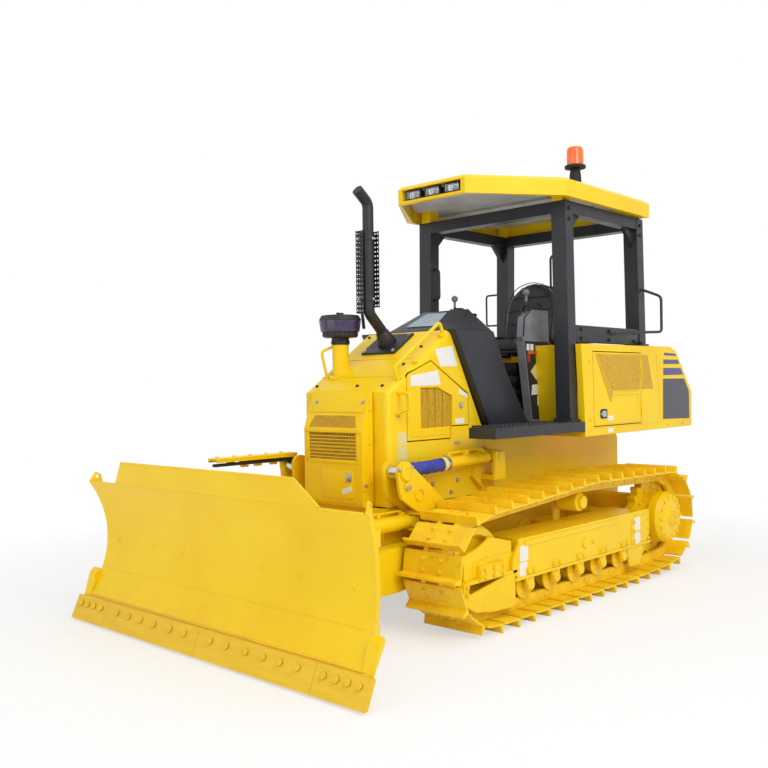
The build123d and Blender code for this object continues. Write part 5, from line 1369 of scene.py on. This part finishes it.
class DOZER_OT_station(bpy.types.Operator):
    """Console covers, levers, labels, gauges, pedals and floor mat"""

    bl_idname = "dozer.station"
    bl_label = "Operator's station"

    def execute(self, context):
        cover = lay("console_cover", [(-424, 1108), (-340, 1640), (-634, 1640), (-634, 1108)], 335, 4, 1.5)
        dress(pair("console_covers", [cover]), "black_plastic", "root")
        films = {"white_film": [rectangle(-392, -358, 1578, 1622, 3), rectangle(-440, -402, 1578, 1622, 3),
                                rectangle(-610, -486, 1484, 1540, 4),
                                [(-410, 1274), (-520, 1280), (-540, 1350), (-420, 1344)],
                                rectangle(-600, -480, 1200, 1270, 4)],
                 "pale_film": [[(-470, 1376), (-404, 1436), (-470, 1492), (-534, 1436)],
                               rectangle(-612, -548, 1380, 1440, 12)],
                 "red_film": [rectangle(-400, -366, 1500, 1560, 3)]}
        for finish, outlines in films.items():
            dress(pair("console_" + finish, [lay("console_label", points, 338.8, 1.0, 0) for points in outlines]),
                  finish, "root")
        tops = [box("arm_pad", (-632, 284, 1858), (-430, 340, 1880), 9, 3),
                lay("console_lip",
                    [(-318, 1672), (-334, 1800), (-422, 1860), (-436, 1860), (-348, 1796), (-334, 1672)],
                    334.5, 3, 1)]
        dress(pair("arm_pads", tops), "rubber", "root")
        sticks = []
        for x, y, low, high in ((-352, 300, 1812, 1868), (-372, 326, 1824, 1884)):
            sticks += [drum("small_lever", (x, y, low), (x - 8, y, high), 4, 10, 1),
                       turned("lever_knob", [(0, -12), (10, -9), (12, 0), (9, 10), (0, 12)], (x - 8, y, high + 8), "Z",
                              16)]
        sticks.append(turned("stick_gaiter",
                             [(34, 1858), (30, 1868), (24, 1872), (26, 1878), (18, 1884), (19, 1890), (11, 1898),
                                              (9, 1914)], (-400, 312, 0), "Z", 28))
        sticks.append(tube("grab_loop", [(-420, 330, 1862), (-420, 330, 1906), (-520, 330, 1912), (-606, 330, 1862)],
                           7, 22, 10))
        dress(pair("levers", sticks), "black_plastic", "root")
        orange = [box("lock_lever", (-470, 339, 1552), (-370, 347, 1574), 4, 2),
                  drum("lock_pivot", (-466, 338, 1563), (-466, 352, 1563), 12, 20, 2)]
        dress(joined("lock_lever", orange), "orange_plastic", "root")
        mat = panel("floor_mat", [(-290, -270, 1095), (100, -270, 1095), (100, 270, 1095), (-290, 270, 1095)],
                    (0, 0, 6), 2)
        ribs = [box("mat_rib", (x, -255, 1100.5), (x + 9, 255, 1103.5), 1, 1) for x in range(-275, 90, 22)]
        pedals = []
        for y in (-120, 110):
            pedals += [box("pedal", (40, y - 45, 1168), (128, y + 45, 1180), 4, 2),
                       drum("pedal_arm", (92, y, 1102), (92, y, 1170), 10, 14, 1)]
        dress(joined("floor_mat", [mat, *ribs, *pedals]), "rubber", "root")
        treads = []
        for x in range(-460, 280, 44):
            for y in (420, 500, 580, 660):
                stud = turned("tread_stud", [(15, 0), (13, 3.4), (8, 3.4), (7, 1.6), (0, 1.6)],
                              (x + (y // 80 % 2) * 22, y, 1095), "Z", 12)
                treads.append(stud)
        dress(pair("tread_studs", treads), "charcoal", "root")
        gauges = [placed(turned("gauge", [(30, -2), (30, 6), (26, 8), (0, 8)], (0, 0, 0), "Z", 28),
                         facing((123, y, 1740), (-390, 0, 210))) for y in (20, 100, 180)]
        dress(joined("dash_gauges", gauges), "black_plastic", "root")
        return {"FINISHED"}


# ---------------------------------------------------------------- blade, linkage and cylinders

def blade_face(y, z, lift=0.0):
    """Point on the blade's hollow face at a height, lifted off it towards the front."""
    top, bottom, hollow = (2030.0, 808.0), (2051.0, 131.0), 100.0
    middle_x, middle_z = (top[0] + bottom[0]) / 2, (top[1] + bottom[1]) / 2
    half = hypot(top[0] - bottom[0], top[1] - bottom[1]) / 2
    radius = (half ** 2 + hollow ** 2) / (2 * hollow)
    off = z - middle_z
    x = middle_x - hollow + radius - sqrt(radius ** 2 - off ** 2) - off * 0.031
    return x + lift, y, z


class DOZER_OT_blade(bpy.types.Operator):
    """Seams, plow bolts, sloped guard ends, weld and rib rims of the blade"""

    bl_idname = "dozer.blade"
    bl_label = "Blade"

    def execute(self, context):
        wings = []
        for way in (1, -1):
            points = []
            for n in range(7):
                share = n / 6
                points.append((2068 - 36 * share ** 0.6, way * (729 + 136 * share ** 1.5 - 52 * share * (1 - share)),
                               938 - 128 * share))
            outer = [(x, y + way * 34 * (1 - n / 6) ** 0.5 * (n / 6 + 0.25), z - 4) for n,
                     (x, y, z) in enumerate(points)]
            wings.append(panel("guard_wing", [*points, *reversed(outer)], (-9, 0, 0), 1, 1))
        fold = panel("blade_fold", [(2024, -1130, 805), (2033, -1130, 806), (2034, -1130, 814), (2026, -1130, 816)],
                     (0, 2260, 0), 1.5, 2)
        lip = panel("guard_lip", [(2066, -729, 936), (2076, -729, 938), (2076, -729, 946), (2062, -729, 946)],
                    (0, 1458, 0), 2, 2)
        dress(joined("blade_trim", [fold, lip, *wings]), "yellow", "blade")
        down = Vector((73, 0, -119)).normalized()
        out = Vector((119, 0, 73)).normalized()
        top = Vector((2068.6, 0, 141.7))
        places = []
        for y in (-1150, -1080, -1010, -930, -760, -640, -520, -390, -240, -110, 110, 240, 390, 520, 640, 760, 930,
                  1010,
                  1080, 1150):
            places.append((top + down * 46 + Vector((0, y, 0)) + out * 0.5, out))
        plow = turned("plow_bolt", [(17, -2), (17, 1.5), (12, 3.4), (7, 3.4), (6, 1.8), (0, 1.8)], (0, 0, 0), "Z", 20)
        heads = [copy_of(plow, "plow_bolt", matrix=facing(place, normal)) for place, normal in places]
        bpy.data.objects.remove(plow)
        dress(joined("plow_bolts", heads), "edge", "blade")
        weld = panel("edge_weld", [blade_face(-1140, 150, -2), blade_face(-1140, 143, 7), blade_face(-1140, 152, 5)],
                     (0, 2280, 0), 1, 1)
        dress(weld, "edge", "blade")
        gusset = []
        for y in (-980, -620, -330, 330, 620, 980):
            gusset.append(drum("rib_hole_rim", (1918, y - 11, 470), (1918, y + 11, 470), 30, 28, 3))
        dress(joined("rib_rims", gusset), "yellow", "blade")
        return {"FINISHED"}


def lift_frame(way):
    """Matrix from a lift cylinder's own frame, along +X from its rear pin, to the machine."""
    slope = atan2(904.0 - 870.0, 1055.0 - 176.0)
    return Matrix.Translation(Vector((176, way * 432, 904)) * MM) @ Matrix.Rotation(slope, 4, "Y")


def angle_frame(way):
    """The same for an angle cylinder from its pin on the C-frame."""
    turn = atan2(12.0, 790.0) * way
    return Matrix.Translation(Vector((930, way * 428, 590)) * MM) @ Matrix.Rotation(turn, 4, "Z")


class DOZER_OT_cylinders(bpy.types.Operator):
    """Heads, ports, hard lines and eyes of the cylinders, and the lift rods' cloth boots"""

    bl_idname = "dozer.cylinders"
    bl_label = "Cylinders and boots"

    def execute(self, context):
        for way, label in ((1, "left"), (-1, "right")):
            frame_of = lift_frame(way)
            parts = [
                turned("barrel_head", [(34.5, 440), (40, 444), (40, 474), (35, 479)], (0, 0, 0), "X", 32),
                turned("barrel_cap", [(34.5, 60), (38, 64), (38, 84), (34.5, 88)], (0, 0, 0), "X", 32),
                box("port_rear", (90, -14, 33), (118, 14, 50), 3), box("port_front", (416, -14, 33), (440, 14, 50), 3),
                tube("hard_line", [(104, 0, 46), (104, 0, 58), (428, 0, 58), (428, 0, 46)], 6, 12, 10),
                drum("line_nut", (104, 0, 50), (104, 0, 60), 10, 6, 1),
                drum("line_nut", (428, 0, 50), (428, 0, 60), 10, 6, 1),
                box("line_clip", (250, -16, 33), (276, 16, 66), 3)]
            parts += [turned("eye_ring",
                             [(42, way * 42 - 4), (44, way * 42 - 4), (44, way * 42 + 4), (24, way * 42 + 4),
                                          (24, way * 42 + 1)], (0, 0, 0), "Y", 32)]
            dress(placed(joined("lift_barrel_trim_" + label, parts), frame_of), "yellow", "lift_barrel_" + label)
            sleeve = turned("lift_sleeve", [(38.5, 441), (40.5, 442), *((41.2, 446 + 12.2 * n) for n in range(30)),
                                            (40.5, 806), (22, 809)], (0, 0, 0), "X", 40)
            for vertex in sleeve.data.vertices:
                x, y, z = (part / MM for part in vertex.co)
                if 452 < x < 800:
                    turn = atan2(z, y)
                    fade = min(1.0, (x - 452) / 40, (800 - x) / 40)
                    fold = sin(x * 0.105 + 1.7 * sin(2 * turn + x * 0.011)) + 0.6 * sin(x * 0.21 + 3 * turn + way)
                    pull = fade * (2.0 * fold - 3.0 + 1.6 * sin(3 * turn + x * 0.03))
                    reach = hypot(y, z)
                    vertex.co.y = (y + y / reach * pull) * MM
                    vertex.co.z = (z + z / reach * pull) * MM
            apply_on(sleeve, "SUBSURF", levels=1, render_levels=1)
            sleeve = placed(sleeve, frame_of)
            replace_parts(dress(sleeve, "boot", "lift_rod_" + label, 70), "lift_boot_" + label)
            cuff = [turned("boot_band", [(41.5, 452), (42.6, 453), (42.6, 466), (41.5, 467)], (0, 0, 0), "X", 36),
                    turned("boot_band", [(41, 786), (42.4, 787), (42.4, 799), (41, 800)], (0, 0, 0), "X", 36),
                    box("band_screw", (452, -8, 41), (467, 8, 52), 2)]
            dress(placed(joined("boot_bands_" + label, cuff), frame_of), "steel", "lift_rod_" + label)
            label_band = turned("boot_label", [(40.6, 470), (42.6, 471), (42.6, 502), (40.6, 503)], (0, 0, 0), "X", 36)
            dress(placed(label_band, frame_of), "pale_film", "lift_rod_" + label)

            frame_of = angle_frame(way)
            parts = [
                turned("gland", [(42.5, 500), (47, 504), (47, 534), (42, 540), (24, 540)], (0, 0, 0), "X", 32),
                box("port_rear", (78, -14, 40), (104, 14, 56), 3), box("port_front", (470, -14, 40), (496, 14, 56), 3),
                tube("hard_line", [(91, 0, 52), (91, 0, 64), (483, 0, 64), (483, 0, 52)], 6, 12, 10),
                box("line_clip", (280, -16, 40), (304, 16, 71), 3)]
            dress(placed(joined("angle_barrel_trim_" + label, parts), frame_of), "yellow", "angle_barrel_" + label)
        gland = [turned("tilt_gland", [(42.5, -340), (47, -344), (47, -374), (42, -380), (24, -380)], (1800, 0, 760),
                        "Y", 32),
                 tube("tilt_line", [(1800, -40, 800), (1800, -40, 812), (1800, -330, 812), (1800, -330, 800)], 6, 12,
                      10),
                 box("tilt_port", (1786, -54, 796), (1814, -26, 806), 3),
                 box("tilt_port", (1786, -344, 796), (1814, -316, 806), 3)]
        dress(joined("tilt_barrel_trim", gland), "yellow", "tilt_barrel")
        return {"FINISHED"}


class DOZER_OT_linkage(bpy.types.Operator):
    """Pin covers, locking plates, hose clamps and grease points of the C-frame"""

    bl_idname = "dozer.linkage"
    bl_label = "C-frame and towers"

    def execute(self, context):
        covers = [
            turned("tower_cover", [(46, 496), (46, 508), (40, 514), (30, 514), (30, 510.5), (0, 510.5)],
                   (1055, 0, 870), "Y", 40),
            lay("tower_lock", [(1012, 862), (1012, 780), (1060, 764), (1072, 800)], 496, 8, 2),
            lay("arm_lock", rectangle(-96, -24, 404, 456, 12), 495, 8, 2),
            turned("pivot_cover", [(60, 495), (60, 506), (52, 512), (0, 512)], (-60, 0, 430), "Y", 40),
            turned("tube_rim", [(37, 494), (37, 502), (31, 504), (31, 496)], (945, 0, 740), "Y", 28),
        ]
        dress(pair("linkage_covers", covers), "yellow", "c_frame")
        places = side_places(504, ((1030, 790), (1052, 784), (-86, 430), (-34, 430)))
        places += [((1055 + 58 * cos(a), 496, 870 + 54 * sin(a)), (0, 1, 0)) for a in (0.4, 2.6)]
        places += side_places(495, ((560, 440), (620, 440), (700, 440)))
        places += [((930, 428 + dy, 658), (0, 0, 1)) for dy in (-14, 14)]
        bolt_rows("linkage_bolts", both_bolts(places), 20, 9, "steel", "c_frame")
        clamps = []
        for x in (1180, 1300, 1400, 1500):
            clamps.append(box("hose_clamp", (x - 22, -500, 880 + (14 if x > 1435 else 0)), (x + 22, -470, 931), 3))
        hoses = []
        for y in (-462, -446):
            hoses.append(tube("guard_hose", [(1052, y, 906), (1640, y, 906)], 9, 20, 14))
        clamps.append(box("guard_inner", (1037, -430, 922), (1643, -425, 945), 1, 1))
        dress(joined("hose_clamps", clamps), "yellow", "c_frame")
        dress(joined("guard_hoses", hoses), "rubber", "c_frame")
        bolt_rows("clamp_bolts", [((x, -500.5, 908), (0, -1, 0)) for x in (1180, 1300, 1400, 1500)]
                  + [((x, -480, 946), (0, 0, 1)) for x in (1120, 1240, 1360, 1480, 1600)], 18, 8, "yellow", "c_frame")
        chassis = both_bolts(side_places(HOOD_SIDE, ((658, 766), (425, 770), (488, 703), (205, 796), (170, 733))))
        bolt_rows("chassis_bolts", chassis, 24, 11, "steel")
        pin = [drum("drawbar_pin", (-1690, 0, 425), (-1690, 0, 604), 16, 24, 2),
               turned("pin_head", [(26, 581), (26, 590), (20, 596), (0, 596)], (-1690, 0, 0), "Z", 24),
               tube("pin_handle", [(-1690, -12, 598), (-1690, -12, 640), (-1690, 30, 640), (-1690, 30, 604)], 5, 12,
                    8)]
        dress(joined("drawbar_pin", pin), "steel")
        return {"FINISHED"}


class DOZER_OT_posts(bpy.types.Operator):
    """Feet, loops and bolts of the canopy posts, the hood grips and the cowl"""

    bl_idname = "dozer.posts"
    bl_label = "Posts and cowl"

    def execute(self, context):
        feet = []
        for x in (-391, -1371):
            z = 1096 if x == -391 else 1620
            feet.append(box("post_foot", (x - 110, 530, z), (x + 14, 668, z + 14), 4))
        feet.append(box("belt_beam", (-1371, 597, 1625), (-485, 643, 1740), 6, 2))
        dress(pair("post_feet", feet), "charcoal", "root")
        handles = [tube("rear_loop",
                        [(-1418, -624, 1843), (-1418, -784, 1843), (-1418, -784, 2098), (-1418, -624, 2098)], 8, 26),
                   tube("rear_rail", [(-948, 635, 1690), (-978, 690, 1700), (-1448, 784, 1718), (-1448, 784, 1978),
                                      (-1418, 614, 2050)], 10, 30)]
        dress(joined("post_handles", handles), "charcoal", "root")
        places = [((x + dx, y, z + 14), (0, 0, 1)) for x, z in ((-391, 1096), (-1371, 1620)) for dx in (-2, )
                  for y in (538, 660)]
        places += side_places(634.5, ((x, z) for x in (-438, -1418) for z in (2440, 2510)))
        places += side_places(643, ((x, z) for x in (-560, -930, -1300) for z in (1650, 1714)))
        bolt_rows("post_bolts", both_bolts(places), 24, 11, "black", "root")
        grips = [tube("hood_grip", [(955, way * 346, 1312), (955, way * far, 1306), (955, way * far, 1222),
                                    (980, way * 346, 1186)], 11, 24) for way, far in ((1, 444), (-1, 400))]
        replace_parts(dress(joined("hood_grips", grips), "yellow"), "handrails")
        loops = tube("post_loop", [(-438.5, 536, 2215), (-438.5, 486, 2205), (-438.5, 486, 1990), (-438.5, 536, 1985)],
                     8, 26)
        dress(pair("post_loops", [loops]), "charcoal", "root")
        lower = panel("cowl_body", [(154, -400, 1095), (487, -400, 1690), (96, -400, 1690), (-60, -400, 1400),
                                    (-279, -400, 1095)], (0, 800, 0), 8)
        upper = panel("cowl_dash", [(487, -170, 1688), (208, -170, 1835), (150, -170, 1790), (96, -170, 1688)],
                      (0, 568, 0), 0)
        for vertex in upper.data.vertices:
            if vertex.co.z > 1.75:
                vertex.co.y = 0.29 if vertex.co.y > 0 else -0.09
        apply_on(upper, "BEVEL", width=0.012, segments=3)
        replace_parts(dress(joined("cowl_body", [lower, upper]), "charcoal", "root"), "cowl")
        slope = Vector((145, 0, 279)).normalized()
        corners = [Vector((x, y, 1690 + (487 - x) * 145 / 279)) + slope * 0.5
                   for x, y in ((430, -45), (430, 200), (250, 144), (250, -24))]
        dress(panel("cowl_panel", corners, slope * 4, 1.5), "blue_grey", "root")
        return {"FINISHED"}


class DOZER_PT_panel(bpy.types.Panel):
    """Steps that build the bulldozer's looks"""

    bl_idname = "DOZER_PT_panel"
    bl_label = "Crawler Bulldozer"
    bl_space_type = "VIEW_3D"
    bl_region_type = "UI"
    bl_category = "Dozer"

    def draw(self, context):
        column = self.layout.column(align=True)
        for step in STEPS:
            column.operator(step.bl_idname)
        sizes = context.scene.dozer_sizes
        for name in ("bolt", "mesh_pitch", "lamp_depth"):
            self.layout.prop(sizes, name)
        self.layout.prop(context.scene.dozer_colours, "backdrop")


STEPS = (
    DOZER_OT_stage, DOZER_OT_paint, DOZER_OT_tracks, DOZER_OT_wheels, DOZER_OT_mask, DOZER_OT_hood, DOZER_OT_lockers,
    DOZER_OT_exhaust, DOZER_OT_cleaner, DOZER_OT_roof, DOZER_OT_seat, DOZER_OT_station, DOZER_OT_blade,
    DOZER_OT_cylinders, DOZER_OT_linkage, DOZER_OT_posts)
CLASSES = (Sizes, Colours, *STEPS, DOZER_PT_panel)


def register():
    for each in CLASSES:
        bpy.utils.register_class(each)
    bpy.types.Scene.dozer_sizes = bpy.props.PointerProperty(type=Sizes)
    bpy.types.Scene.dozer_colours = bpy.props.PointerProperty(type=Colours)


def unregister():
    del bpy.types.Scene.dozer_colours
    del bpy.types.Scene.dozer_sizes
    for each in reversed(CLASSES):
        bpy.utils.unregister_class(each)


def main():
    """Build everything in order."""
    register()
    for step in STEPS:
        group, name = step.bl_idname.split(".")
        getattr(getattr(bpy.ops, group), name)()
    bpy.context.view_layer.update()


if __name__ == "__main__":
    main()
